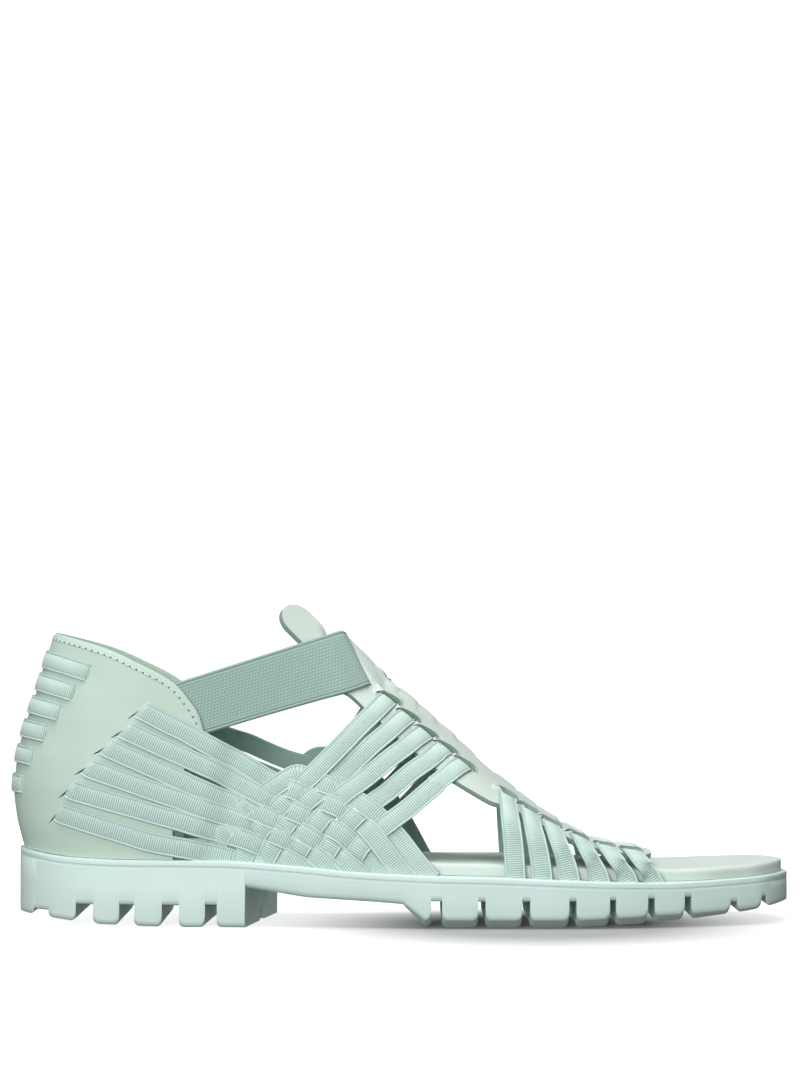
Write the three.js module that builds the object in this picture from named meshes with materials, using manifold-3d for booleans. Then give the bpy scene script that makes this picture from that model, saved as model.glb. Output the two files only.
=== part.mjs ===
// Woven lug-soled sandal, right shoe. Millimetres, +Z up, toe to +X, outer side of the foot to -Y.
// Lengths along the shoe are measured from the back of the heel, heights from the floor.
import * as THREE from 'three';
import { mergeVertices } from 'three/addons/utils/BufferGeometryUtils.js';
import Module from 'manifold-3d';

const wasm = await Module();
wasm.setup();

// Driving dimensions of the sole
const SHOE_LENGTH = 276;
const HEEL_RADIUS = 38;
const TOE_RADIUS = 13;
const HEEL_BREAST = 84.3;
const SIDE_GROOVE = { below: 2.4, width: 1.2, depth: 0.6 };
const EDGE_ROUND = 0.8;
const HEEL_FLARE = 1.4;
const CHANNEL_WIDTH = 9;
const CHANNEL_HEIGHT = 6;

// Driving dimensions of the upper
const UPPER_INSET = 3.2;
const INSOLE_INSET = 5.6;
const INSOLE_THICKNESS = 4.2;
const INSOLE_ROLL = 1.4;
const SEAT_GAP = 0.3;
const STRAP_GAP = 0.5;
const COUNTER_WALL = 2;
const COUNTER_FRONT = { x: 69, z: 68, footX: 58 };
const SPINE_BOTTOM = 0.85;
const SPINE_TOP = 2.8;
const TAPE = { width: 7, thickness: 1.2 };
const BAND = { width: 20, thickness: 1.5 };
const WEAVE_LIFT = 0.45;
const SLOT_CLEARANCE = 0.33;
const UNDER_SPINE_LIFT = -0.4;
const SLOT_DIVE = 0.03;
const CROWN = 0.7;

// The last: sole edge either side, sole top, crest of the foot, and the crest's lean to the inner side
const LAST = [
  { x: 0, outer: 30, inner: 30, seat: 27.6, crest: 180, lean: 0 },
  { x: 22, outer: 30.5, inner: 30.5, seat: 25, crest: 178, lean: 0 },
  { x: 45, outer: 31, inner: 31, seat: 24.2, crest: 170, lean: 0 },
  { x: 75, outer: 32, inner: 30, seat: 24, crest: 138, lean: 2 },
  { x: 100, outer: 34, inner: 27.5, seat: 22.4, crest: 105, lean: 5 },
  { x: 126, outer: 36.5, inner: 26.5, seat: 20.1, crest: 88.5, lean: 6 },
  { x: 154, outer: 39.5, inner: 32, seat: 19, crest: 65.2, lean: 6 },
  { x: 170, outer: 40, inner: 37, seat: 18.7, crest: 51, lean: 6 },
  { x: 190, outer: 40, inner: 41.5, seat: 17.9, crest: 36.4, lean: 5 },
  { x: 210, outer: 38.5, inner: 42, seat: 17.1, crest: 27, lean: 5 },
  { x: 232, outer: 33.5, inner: 39.5, seat: 16.6, crest: 24, lean: 5 },
  { x: 255, outer: 25, inner: 35, seat: 17.4, crest: 23, lean: 5 },
  { x: 276, outer: 14, inner: 28, seat: 18.6, crest: 22, lean: 5 },
];

// Underside of the sole: curved heel block, breast, arch, forefoot and the spring of the toe
const UNDERSIDE = [
  { x: 0, z: 5 },
  { x: 15, z: 3.8 },
  { x: 32, z: 2.1 },
  { x: 50, z: 1.3 },
  { x: 62, z: 1 },
  { x: HEEL_BREAST - 0.2, z: 1 },
  { x: HEEL_BREAST, z: 14.9 },
  { x: 105, z: 11.5 },
  { x: 128, z: 10.2 },
  { x: 139, z: 9.4 },
  { x: 146.5, z: 1.5 },
  { x: 150, z: 1 },
  { x: 200, z: 1 },
  { x: 220, z: 1.8 },
  { x: 240, z: 3.3 },
  { x: 260, z: 5.6 },
  { x: 276, z: 8.6 },
];

// Bevel of the tread along its outer edges: small under the heel and arch, wide under the forefoot
const TREAD_BEVEL = [
  { x: 139, inward: 0.8, up: 0.8 },
  { x: 150, inward: 9, up: 2.3 },
  { x: 221, inward: 9, up: 2.5 },
  { x: 252, inward: 6, up: 1.4 },
  { x: 270, inward: 0.8, up: 0.8 },
];

// Notches between the lugs: heel, forefoot and toe, each with its depth up from the tread
const HEEL_NOTCHES = [
  { from: 25, to: 31.2, deep: 6.2 },
  { from: 40.4, to: 45.6, deep: 7 },
  { from: 55.2, to: 61.2, deep: 7.4 },
  { from: 70.2, to: 74.4, deep: 7.6 },
];
const FOREFOOT_NOTCHES = [
  { from: 148.8, to: 152.6, deep: 9.4 },
  { from: 165, to: 167.6, deep: 9.4 },
  { from: 180.2, to: 183, deep: 9.4 },
  { from: 196.5, to: 199, deep: 9.4 },
  { from: 210.6, to: 212.8, deep: 9.2 },
  { from: 224, to: 226.4, deep: 8.8 },
  { from: 237, to: 239.4, deep: 8.2 },
];
const END_NOTCHES = [
  { from: 9.4, to: 14.8, deep: 2.2 },
  { from: 253.6, to: 256, deep: 4.2 },
  { from: 265, to: 266.8, deep: 3.8 },
];

// Back of the heel cup, and its collar line from the back to the front
const HEEL_CURVE = [
  { z: 24, x: 5 },
  { z: 39, x: 1.2 },
  { z: 48, x: 0.3 },
  { z: 56, x: 0.9 },
  { z: 69, x: 3.7 },
  { z: 82, x: 8 },
  { z: 104, x: 14.7 },
];
const COLLAR = [
  { x: 14, z: 103.6 },
  { x: 35.6, z: 97.6 },
  { x: 47.4, z: 92.4 },
  { x: 59, z: 85.8 },
  { x: 64.8, z: 79 },
  { x: 68.2, z: 72.7 },
  { x: 69.2, z: 68 },
];

// Half width of the spine as a share of the wrap from crest to sole edge, and the line of its slots
const SPINE = [
  { x: 97, half: 0.2, slot: 0.09 },
  { x: 118.5, half: 0.2, slot: 0.09 },
  { x: 125.4, half: 0.24, slot: 0.09 },
  { x: 132.4, half: 0.28, slot: 0.09 },
  { x: 145.5, half: 0.33, slot: 0.14 },
  { x: 159, half: 0.35, slot: 0.165 },
  { x: 168, half: 0.34, slot: 0.15 },
  { x: 178, half: 0.26, slot: 0.14 },
  { x: 188.4, half: 0.25, slot: 0.13 },
  { x: 197.8, half: 0.23, slot: 0.11 },
  { x: 217, half: 0.2, slot: 0.1 },
  { x: 223, half: 0.19, slot: 0.1 },
  { x: 227.5, half: 0.15, slot: 0.1 },
  { x: 229, half: 0.08, slot: 0.1 },
];

// Pull tab at the rear of the spine: a flat tongue that stands free of the foot
const TAB = { end: 97, top: 112.6, slope: 0.99, middle: 2, half: 8, round: 5, looseTo: 106, laidFrom: 115 };

// Tapes that run forward and down from the counter's slots, upper to lower
const forwardTape = (topX, topZ, midX, midZ, lowX, lowZ, footX) => (
  { topX, topZ, midX, midZ, lowX, lowZ, footX }
);
const FORWARD_TAPES = [
  forwardTape(102, 57, 118, 47.5, 133.5, 36.5, 149),
  forwardTape(46, 78.5, 85.5, 57.5, 122, 39, 141),
  forwardTape(40.5, 71.5, 77, 54.5, 117, 33.5, 133.5),
  forwardTape(34.5, 65.5, 71.5, 48.5, 106, 32.5, 126),
  forwardTape(28, 58.5, 64.5, 45, 103.5, 29, 117),
  forwardTape(22, 51, 64.5, 37.5, 92, 28, 107),
  forwardTape(18, 43, 51, 31.5, 79, 28, 95),
];

// Tapes that run back and down from the spine's slots, rear to front
const backwardTape = (slotX, midX, midZ, lowX, lowZ, footX) => ({ slotX, midX, midZ, lowX, lowZ, footX });
const BACKWARD_TAPES = [
  backwardTape(102, 92, 48, 80.5, 39.5, 70.5),
  backwardTape(132.4, 118.5, 64, 102, 48.5, 82),
  backwardTape(139.1, 114, 51, 102, 41, 90),
  backwardTape(145.5, 118, 46.5, 110, 38, 99),
  backwardTape(152.5, 127.5, 43.5, 117, 33.5, 108.5),
  backwardTape(159, 133.5, 36.5, 124, 28.5, 119),
];
const LOOP_HEIGHT = 55;

// Straps over the toes: slot on the spine and foot on the sole, rear to front
const TOE_STRAPS = [
  { slotX: 174, footX: 178 },
  { slotX: 181.6, footX: 187.4 },
  { slotX: 189, footX: 197 },
  { slotX: 198, footX: 206.8 },
  { slotX: 207.5, footX: 216.4 },
  { slotX: 216.9, footX: 226 },
];
const TOE_STRAP_BOW = 0.8;
const TAPE_LEAN = -4.5;
const TOE_STRAP_LEAN = 1.5;

// Tapes round the back of the counter: height at the back, and the slot at each side
const HEEL_TAPES = [
  { backZ: 95.5, slotX: 27, slotZ: 91 },
  { backZ: 87.5, slotX: 22, slotZ: 84 },
  { backZ: 79.4, slotX: 17, slotZ: 77 },
  { backZ: 71.2, slotX: 12, slotZ: 69.8 },
  { backZ: 62.4, slotX: 7.5, slotZ: 61.6 },
  { backZ: 52.2, slotX: 4, slotZ: 52 },
];
const HEEL_TAPE_WIDTH = 5.6;
const HEEL_TAPE_SINK = 0.06;

// Instep band: route from inside the counter to its slot in the spine
const BAND_ROUTE = [
  { x: 118, z: 85, lift: -1.8 },
  { x: 113.5, z: 89.8, lift: 5.2 },
  { x: 106, z: 90, lift: 5 },
  { x: 95, z: 86.5, lift: 3.6 },
  { x: 82, z: 82, lift: 0.8 },
  { x: 69, z: 77.5, lift: -1.3 },
  { x: 58, z: 73.5, lift: -1.3 },
];

const LEATHER = { color: '#b8d1c1', roughness: 0.62, metalness: 0 };
const PALE_LEATHER = { color: '#d8e6dc', roughness: 0.6, metalness: 0 };
const ELASTIC = { color: '#c3dad3', roughness: 0.85, metalness: 0 };
const KNIT = { color: '#a0beb6', roughness: 0.9, metalness: 0 };
const RUBBER = { color: '#d0e6e0', roughness: 0.55, metalness: 0 };

// Smooth curve through one column of a table that never overshoots its rows
function column(rows, key, name) {
  const slopes = rows.slice(1).map((row, i) => (row[name] - rows[i][name]) / (row[key] - rows[i][key]));
  const tangents = rows.map((row, i) => {
    const before = slopes[Math.max(i - 1, 0)];
    const after = slopes[Math.min(i, slopes.length - 1)];
    return before * after <= 0 ? 0 : (2 * before * after) / (before + after);
  });
  return (at) => {
    let i = 0;
    while (i < rows.length - 2 && at > rows[i + 1][key]) i += 1;
    const span = rows[i + 1][key] - rows[i][key];
    const t = THREE.MathUtils.clamp((at - rows[i][key]) / span, 0, 1);
    const rise = rows[i + 1][name] - rows[i][name];
    const start = tangents[i] * span;
    const end = tangents[i + 1] * span;
    return rows[i][name] + t * (start + t * (3 * rise - 2 * start - end + t * (start + end - 2 * rise)));
  };
}

const outerEdge = column(LAST, 'x', 'outer');
const innerEdge = column(LAST, 'x', 'inner');
const seatHeight = column(LAST, 'x', 'seat');
const crestHeight = column(LAST, 'x', 'crest');
const crestLean = column(LAST, 'x', 'lean');
const bevelInward = column(TREAD_BEVEL, 'x', 'inward');
const bevelUp = column(TREAD_BEVEL, 'x', 'up');
const heelBack = column(HEEL_CURVE, 'z', 'x');
const collarHeight = column(COLLAR, 'x', 'z');
const spineHalf = column(SPINE, 'x', 'half');
const spineSlot = column(SPINE, 'x', 'slot');

// Plan rounding of the heel and toe: 0 at the end of the shoe, 1 one radius in
const endRound = (distance, radius) => {
  const left = 1 - THREE.MathUtils.clamp(distance / radius, 0, 1);
  return Math.sqrt(1 - left * left);
};

// Inner face of the upper at a height: rear line of the cup, moved in by its wall
const innerBack = (z) => heelBack(z) + COUNTER_WALL;

// Sideways reach of the last at a share of its rise from sole edge to crest: tent-like over the instep,
// with upright sides over the toes
const shoulder = column([
  { x: 150, power: 1.4 },
  { x: 180, power: 2.4 },
  { x: 200, power: 3.4 },
  { x: 225, power: 4 },
], 'x', 'power');
const reachAt = (x, rise) => (1 - THREE.MathUtils.clamp(rise, 0, 1) ** shoulder(x)) ** CROWN;

// How far the middle of the wrap lies to the outer side of the crest
const spineShift = column([
  { x: 62, shift: 0 },
  { x: 108, shift: 0.1 },
], 'x', 'shift');

// Point of the last: wrap runs from -1 at the outer sole edge over the spine to 1 at the inner edge
function lastPoint(x, wrap) {
  const turn = wrap - spineShift(x) * (1 - wrap * wrap);
  const side = Math.sign(turn);
  const rise = 1 - Math.abs(turn) ** (1 / CROWN);
  const seat = seatHeight(x);
  const z = seat + (crestHeight(x) - seat) * rise;
  const lean = crestLean(x);
  const edge = (side < 0 ? outerEdge(x) : innerEdge(x)) - UPPER_INSET;
  const y = lean + side * (edge - side * lean) * reachAt(x, rise);
  return new THREE.Vector3(x, y * endRound(x - innerBack(z), HEEL_RADIUS), z);
}

// Wrap at a height, on the outer side (-1) or the inner side (1)
function wrapAt(x, z, side = -1) {
  const seat = seatHeight(x);
  const rise = Math.min((z - seat) / (crestHeight(x) - seat), 1);
  const shift = spineShift(x);
  const turn = shift + side * (1 - rise) ** CROWN;
  return 2 * turn / (1 + Math.sqrt(1 + 4 * shift * turn));
}

function outward(pointAt, first, second, step, side) {
  const along = pointAt(first + step.first, second).sub(pointAt(first - step.first, second));
  const up = pointAt(first, second + step.second).sub(pointAt(first, second - step.second));
  return along.cross(up).normalize().multiplyScalar(side);
}

const lastNormal = (x, wrap) => outward(lastPoint, x, wrap, { first: 0.4, second: 0.004 }, 1);

// Closed solid through rings of equal length; point i of a ring faces point n-1-i across it
function loft(rings) {
  const count = rings[0].length;
  const positions = rings.flatMap((ring) => ring.flatMap((point) => point.toArray()));
  const index = [];
  const quad = (a, b, c, d) => index.push(a, b, c, a, c, d);
  for (let r = 0; r < rings.length - 1; r += 1) {
    for (let i = 0; i < count; i += 1) {
      const next = (i + 1) % count;
      quad(r * count + i, r * count + next, (r + 1) * count + next, (r + 1) * count + i);
    }
  }
  const last = (rings.length - 1) * count;
  for (let i = 0; i < count / 2 - 1; i += 1) {
    quad(i, count - 1 - i, count - 2 - i, i + 1);
    quad(last + i, last + i + 1, last + count - 2 - i, last + count - 1 - i);
  }
  const geometry = new THREE.BufferGeometry();
  geometry.setAttribute('position', new THREE.Float32BufferAttribute(positions, 3));
  geometry.setIndex(signedVolume(positions, index) < 0 ? index.reverse() : index);
  return geometry;
}

function signedVolume(positions, index) {
  const corner = (i) => new THREE.Vector3().fromArray(positions, 3 * index[i]);
  let volume = 0;
  for (let i = 0; i < index.length; i += 3) volume += corner(i).dot(corner(i + 1).cross(corner(i + 2)));
  return volume;
}

const MERGE_DISTANCE = 0.002;

function toSolid(geometry) {
  const bare = geometry.clone();
  bare.deleteAttribute('normal');
  bare.deleteAttribute('uv');
  const merged = mergeVertices(bare, MERGE_DISTANCE);
  const vertProperties = new Float32Array(merged.attributes.position.array);
  const triVerts = new Uint32Array(merged.index.array);
  return new wasm.Manifold(new wasm.Mesh({ numProp: 3, vertProperties, triVerts }));
}

function toGeometry(solid) {
  const mesh = solid.getMesh();
  const geometry = new THREE.BufferGeometry();
  geometry.setAttribute('position', new THREE.BufferAttribute(new Float32Array(mesh.vertProperties), 3));
  geometry.setIndex(new THREE.BufferAttribute(new Uint32Array(mesh.triVerts), 1));
  return geometry;
}

// Largest shell of a solid, without the slivers and sealed pockets that crossing strips leave between them
const FINEST_EDGE = 0.1;
const WEAVE_FINEST_EDGE = 0.25;
const largest = (solid) => solid.decompose().reduce((a, b) => (a.volume() > b.volume() ? a : b));
const outerShell = (solid, finest = FINEST_EDGE) => {
  const shell = largest(solid.simplify(finest));
  return largest(toSolid(toGeometry(shell)));
};

const cutAll = (solid, cutters) => cutters.reduce((left, cutter) => left.subtract(cutter), solid);
const joinAll = (solids) => solids.reduce((whole, solid) => whole.add(solid));

// Flat strip along stations on a surface, each with its point, outward normal and lift
function strip(stations, width, thickness) {
  const centres = stations.map((s) => s.point.clone().addScaledVector(s.normal, s.lift));
  return loft(stations.map((s, i) => {
    const ahead = centres[Math.min(i + 1, centres.length - 1)];
    const behind = centres[Math.max(i - 1, 0)];
    const along = ahead.clone().sub(behind);
    const across = along.cross(s.normal).normalize().multiplyScalar(width / 2);
    const up = s.normal.clone().multiplyScalar(thickness / 2);
    const corner = (sideways, lifted) => centres[i].clone()
      .addScaledVector(across, sideways).addScaledVector(up, lifted);
    return [corner(-1, -1), corner(-1, 1), corner(1, 1), corner(1, -1)];
  }));
}

const tapeStrip = (stations, width = TAPE.width) => strip(stations, width, TAPE.thickness);
const slotCutter = (stations, width, thickness) =>
  toSolid(strip(stations, width + 2 * SLOT_CLEARANCE, thickness + 2 * SLOT_CLEARANCE));

const onLast = ({ x, wrap, lift }) => ({ point: lastPoint(x, wrap), normal: lastNormal(x, wrap), lift });
const mirrored = (route) => route.map(({ x, wrap, lift }) => ({ x, wrap: -wrap, lift }));

const overCounterLift = COUNTER_WALL + 2 * STRAP_GAP + TAPE.thickness / 2;
const overSpineLift = SPINE_TOP + STRAP_GAP + TAPE.thickness / 2;

// Sole: rings across the shoe, each with a rounded tread edge, a side groove and a rounded top edge
function underside(x) {
  let i = 0;
  while (i < UNDERSIDE.length - 2 && x > UNDERSIDE[i + 1].x) i += 1;
  const from = UNDERSIDE[i];
  const to = UNDERSIDE[i + 1];
  return THREE.MathUtils.mapLinear(x, from.x, to.x, from.z, to.z);
}

const ROUND_STEPS = 6;
const FIRST_TURN = 0.1;

function planStations(start, end, heelRadius, toeRadius, middles) {
  const turns = Array.from({ length: ROUND_STEPS }, (_, i) =>
    THREE.MathUtils.lerp(FIRST_TURN, Math.PI / 2, i / ROUND_STEPS));
  const heel = turns.map((turn) => start + heelRadius * (1 - Math.cos(turn)));
  const toe = turns.map((turn) => end - toeRadius * (1 - Math.cos(turn))).reverse();
  const inner = middles.filter((x) => x > start + heelRadius && x < end - toeRadius);
  return [...heel, start + heelRadius, ...inner, end - toeRadius, ...toe];
}

function sideRing(x, outer, inner, profile) {
  const outerSide = profile.map(({ out, z }) => new THREE.Vector3(x, -outer - out, z));
  const innerSide = profile.map(({ out, z }) => new THREE.Vector3(x, inner + out, z)).reverse();
  return [...outerSide, ...innerSide];
}

function soleRing(x) {
  const round = endRound(x, HEEL_RADIUS) * endRound(SHOE_LENGTH - x, TOE_RADIUS);
  const top = seatHeight(x);
  const bottom = underside(x);
  const flare = x < HEEL_BREAST ? HEEL_FLARE * round : 0;
  const groove = top - SIDE_GROOVE.below;
  const profile = [
    { out: flare - bevelInward(x), z: bottom },
    { out: flare, z: bottom + bevelUp(x) },
    { out: 0, z: groove - SIDE_GROOVE.width / 2 },
    { out: -SIDE_GROOVE.depth, z: groove },
    { out: 0, z: groove + SIDE_GROOVE.width / 2 },
    { out: 0, z: top - EDGE_ROUND },
    { out: -EDGE_ROUND, z: top },
  ];
  return sideRing(x, outerEdge(x) * round, innerEdge(x) * round, profile);
}

function block(fromX, toX, fromY, toY, fromZ, toZ) {
  const box = new THREE.BoxGeometry(toX - fromX, toY - fromY, toZ - fromZ);
  box.translate((fromX + toX) / 2, (fromY + toY) / 2, (fromZ + toZ) / 2);
  return toSolid(box);
}

function makeOutsole() {
  const corners = UNDERSIDE.map((row) => row.x);
  const middles = [...corners, 60, 94, 168, 185, 210, 230, 250].sort((a, b) => a - b);
  const stations = planStations(0, SHOE_LENGTH, HEEL_RADIUS, TOE_RADIUS, middles);
  const body = toSolid(loft(stations.map(soleRing)));
  const reach = SHOE_LENGTH / 4;
  const below = -reach;
  const notch = ({ from, to, deep }) =>
    block(from, to, -reach, reach, below, underside((from + to) / 2) + deep);
  const channel = (from, to) => block(from, to, -CHANNEL_WIDTH / 2, CHANNEL_WIDTH / 2, below, CHANNEL_HEIGHT);
  return toGeometry(cutAll(body, [
    ...[...HEEL_NOTCHES, ...FOREFOOT_NOTCHES, ...END_NOTCHES].map(notch),
    channel(HEEL_NOTCHES[0].from, HEEL_BREAST + CHANNEL_WIDTH),
    channel(FOREFOOT_NOTCHES[0].from, FOREFOOT_NOTCHES.at(-1).to),
  ]));
}

// What lies below the seat of the upper: strap feet and the counter are trimmed by it
const SEAT_STATIONS = [0, 22, 45, 75, 88, 100, 113, 126, 154, 170, 190, 210, 232, 255, SHOE_LENGTH];
const seatBlock = toSolid(loft(SEAT_STATIONS.map((x) => {
  const profile = [{ out: 0, z: 0 }, { out: 0, z: seatHeight(x) + SEAT_GAP }];
  return sideRing(x, SHOE_LENGTH / 4, SHOE_LENGTH / 4, profile);
})));

// Insole: seated on the sole inside the upper, out to the sole's edge ahead of the toe straps
const insoleInset = column([
  { x: 231, inset: INSOLE_INSET },
  { x: 246, inset: 2 },
], 'x', 'inset');
const INSOLE_HEEL = 7.4;
const INSOLE_TOE = SHOE_LENGTH - 2;

function insoleRing(x) {
  const inset = insoleInset(x);
  const round = endRound(x - INSOLE_HEEL, HEEL_RADIUS) * endRound(INSOLE_TOE - x, TOE_RADIUS);
  const bottom = seatHeight(x) + SEAT_GAP;
  const top = bottom + INSOLE_THICKNESS;
  const profile = [
    { out: -INSOLE_ROLL / 2, z: bottom },
    { out: 0, z: bottom + INSOLE_ROLL / 2 },
    { out: 0, z: top - INSOLE_ROLL },
    { out: -INSOLE_ROLL, z: top },
  ];
  return sideRing(x, (outerEdge(x) - inset) * round, (innerEdge(x) - inset) * round, profile);
}

function makeInsole() {
  const middles = [60, 80, 100, 116, 132, 150, 170, 190, 210, 222, 231, 238, 246];
  return loft(planStations(INSOLE_HEEL, INSOLE_TOE, HEEL_RADIUS, TOE_RADIUS, middles).map(insoleRing));
}

// Counter: columns round the heel from the back to each front edge, turn 1 being a quarter round
const COUNTER_TURN = 1.45;
const turnReach = (turn) => {
  const size = Math.abs(turn);
  const round = HEEL_RADIUS * (1 - Math.cos(Math.min(size, 1) * Math.PI / 2));
  return round + Math.max(size - 1, 0) * HEEL_RADIUS * Math.PI / 2;
};

function counterPoint(turn, share) {
  const along = turnReach(turn) / turnReach(COUNTER_TURN);
  const topBack = innerBack(COLLAR[0].z);
  const topX = topBack + along * (COUNTER_FRONT.x - topBack);
  const topZ = collarHeight(topX);
  const z = THREE.MathUtils.lerp(seatHeight(along * COUNTER_FRONT.footX) + SEAT_GAP, topZ, share);
  const footReach = along * (COUNTER_FRONT.footX - innerBack(seatHeight(0)));
  const topReach = along * (COUNTER_FRONT.x - innerBack(topZ));
  const x = innerBack(z) + THREE.MathUtils.lerp(footReach, topReach, share);
  const wrap = wrapAt(x, z);
  const wall = lastPoint(x, wrap);
  return turn < 0 ? wall : new THREE.Vector3(x, -wall.y, z);
}

const counterNormal = (turn, share) =>
  outward(counterPoint, turn, share, { first: 0.01, second: 0.01 }, -1);

function counterRing(turn) {
  const shares = [0, 0.25, 0.5, 0.75, 1];
  const face = (share, lift) => counterPoint(turn, share).addScaledVector(counterNormal(turn, share), lift);
  const outerFace = shares.map((share) => face(share, COUNTER_WALL));
  const innerFace = shares.map((share) => face(share, 0)).reverse();
  return [...outerFace, ...innerFace];
}

function makeCounter(cutters) {
  const columns = 22;
  const turns = Array.from({ length: columns + 1 }, (_, i) => COUNTER_TURN * (2 * i / columns - 1));
  return toGeometry(outerShell(cutAll(toSolid(loft(turns.map(counterRing))), cutters)));
}

// Spine: rings across the crest, from the rounded tab to the toe
const tabAcross = new THREE.Vector3(7, 13, 5.8).normalize();
const tabNormal = new THREE.Vector3(1, 0, -TAB.slope).cross(tabAcross).normalize();

function spineRing(x) {
  const laid = THREE.MathUtils.smoothstep(x, TAB.looseTo, TAB.laidFrom);
  const tabHalf = TAB.half * endRound(x - TAB.end, TAB.round);
  const face = (share, lift) => {
    const wrap = share * spineHalf(x);
    const onFoot = lastPoint(x, wrap).addScaledVector(lastNormal(x, wrap), lift);
    return new THREE.Vector3(x, TAB.middle, TAB.top - TAB.slope * (x - TAB.end))
      .addScaledVector(tabAcross, share * tabHalf)
      .addScaledVector(tabNormal, lift - SPINE_TOP)
      .lerp(onFoot, laid);
  };
  const shares = [-1, -0.5, 0, 0.5, 1];
  const topFace = shares.map((share) => face(share, SPINE_TOP));
  const underFace = shares.map((share) => face(share, SPINE_BOTTOM)).reverse();
  return [...topFace, ...underFace];
}

function makeSpine(cutters) {
  const tab = [97.1, 97.8, 99.2, 102, 106, 110.5];
  const ridge = [115, 122, 131, 140, 150, 160, 170, 182, 195, 208, 221, 226, 229];
  const rings = [...tab, ...ridge].map(spineRing);
  return toGeometry(outerShell(cutAll(toSolid(loft(rings)), cutters)));
}

// Route from under the spine's middle up through its slot and over its margin
function slotRoute(slotX, lean) {
  const slot = spineSlot(slotX);
  const edge = spineHalf(slotX + lean) + SLOT_DIVE;
  return [
    { x: slotX - lean / 2, wrap: 0, lift: UNDER_SPINE_LIFT },
    { x: slotX - lean / 4, wrap: -(slot - SLOT_DIVE), lift: UNDER_SPINE_LIFT },
    { x: slotX, wrap: -(slot + SLOT_DIVE / 2), lift: overSpineLift },
    { x: slotX + lean / 2, wrap: -(slot + edge) / 2, lift: overSpineLift },
    { x: slotX + lean, wrap: -edge, lift: overSpineLift },
  ];
}

// Routes of the tapes in the weave, from top to foot on the outer side
const ROUTE_STEPS = 48;
const LONG_SPAN = 13;
const WRAP_SCALE = 60;

function routeCurve(points) {
  const flat = points.map(({ x, wrap }) => new THREE.Vector3(x, wrap * WRAP_SCALE, 0));
  const curve = new THREE.CatmullRomCurve3(flat);
  return curve.getSpacedPoints(ROUTE_STEPS).map((p) => ({ x: p.x, wrap: p.y / WRAP_SCALE }));
}

const FOOT_TRIM = 3;
const footPoint = (x) => ({ x, wrap: wrapAt(x, seatHeight(x) - FOOT_TRIM) });
const sidePoint = (x, z) => ({ x, wrap: wrapAt(x, z) });

const edgePoint = (slotX, lean) => slotRoute(slotX, lean).at(-1);

const forwardCurves = FORWARD_TAPES.map((row) => routeCurve([
  sidePoint(row.topX, row.topZ),
  sidePoint(row.midX, row.midZ),
  sidePoint(row.lowX, row.lowZ),
  footPoint(row.footX),
]));

const backwardCurves = BACKWARD_TAPES.map((row, i) => routeCurve([
  i === 0 ? sidePoint(row.slotX, LOOP_HEIGHT) : edgePoint(row.slotX, TAPE_LEAN),
  sidePoint(row.midX, row.midZ),
  sidePoint(row.lowX, row.lowZ),
  footPoint(row.footX),
]));

// Step at which two routes cross, or null
function crossing(first, second) {
  for (let i = 0; i < first.length - 1; i += 1) {
    for (let j = 0; j < second.length - 1; j += 1) {
      const ax = first[i + 1].x - first[i].x;
      const aw = first[i + 1].wrap - first[i].wrap;
      const bx = second[j + 1].x - second[j].x;
      const bw = second[j + 1].wrap - second[j].wrap;
      const area = ax * bw - aw * bx;
      const dx = second[j].x - first[i].x;
      const dw = second[j].wrap - first[i].wrap;
      const s = (dx * bw - dw * bx) / area;
      const t = (dx * aw - dw * ax) / area;
      if (s >= 0 && s < 1 && t >= 0 && t < 1) return { first: i + s, second: j + t };
    }
  }
  return null;
}

const forwardKnots = forwardCurves.map(() => []);
const backwardKnots = backwardCurves.map(() => []);
forwardCurves.forEach((forward, i) => backwardCurves.forEach((backward, j) => {
  const knot = crossing(forward, backward);
  if (knot === null) return;
  const forwardOver = (i + j) % 2 === 0 ? 1 : -1;
  forwardKnots[i].push({ step: knot.first, lift: forwardOver * WEAVE_LIFT });
  backwardKnots[j].push({ step: knot.second, lift: -forwardOver * WEAVE_LIFT });
}));

function routeAt(curve, step) {
  const i = Math.min(Math.floor(step), curve.length - 2);
  const t = step - i;
  const mix = (name) => THREE.MathUtils.lerp(curve[i][name], curve[i + 1][name], t);
  return { x: mix('x'), wrap: mix('wrap') };
}

// Stations of a tape: its knots, the midpoints between them, its start and its foot
function tapeStations(curve, knots, starts) {
  const sorted = [...knots].sort((a, b) => a.step - b.step);
  const marks = [...starts, ...sorted, { step: ROUTE_STEPS, lift: 0 }];
  const stations = [];
  marks.forEach((mark, i) => {
    stations.push({ ...routeAt(curve, mark.step), lift: mark.lift });
    const next = marks[i + 1];
    if (next === undefined || next.step - mark.step < LONG_SPAN) return;
    const middle = routeAt(curve, (mark.step + next.step) / 2);
    stations.push({ ...middle, lift: (mark.lift + next.lift) / 2 });
  });
  return stations;
}

const stepAtX = (curve, x) => curve.findIndex((p) => p.x >= x);

// Forward tapes leave their counter slots, lie over the counter and step down at its front edge
const SLOT_SINK = 1;
const SLOT_MOUTH = { back: 2.4, up: 1.4 };
const COUNTER_CLEAR = 5;
const COUNTER_SPAN = 6;

function forwardStarts(curve, row, loose) {
  if (loose) return [{ step: 0, lift: 0 }];
  const foot = seatHeight(COUNTER_FRONT.footX);
  const share = THREE.MathUtils.clamp((row.midZ - foot) / (COUNTER_FRONT.z - foot), 0, 1);
  const frontX = THREE.MathUtils.lerp(COUNTER_FRONT.footX, COUNTER_FRONT.x, share);
  const clear = stepAtX(curve, frontX + COUNTER_CLEAR);
  const spans = Math.ceil(clear / COUNTER_SPAN);
  const over = Array.from({ length: spans + 1 }, (_, i) =>
    ({ step: clear * i / spans, lift: overCounterLift }));
  return [...over, { step: stepAtX(curve, frontX + 3 * COUNTER_CLEAR), lift: 0 }];
}

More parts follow.
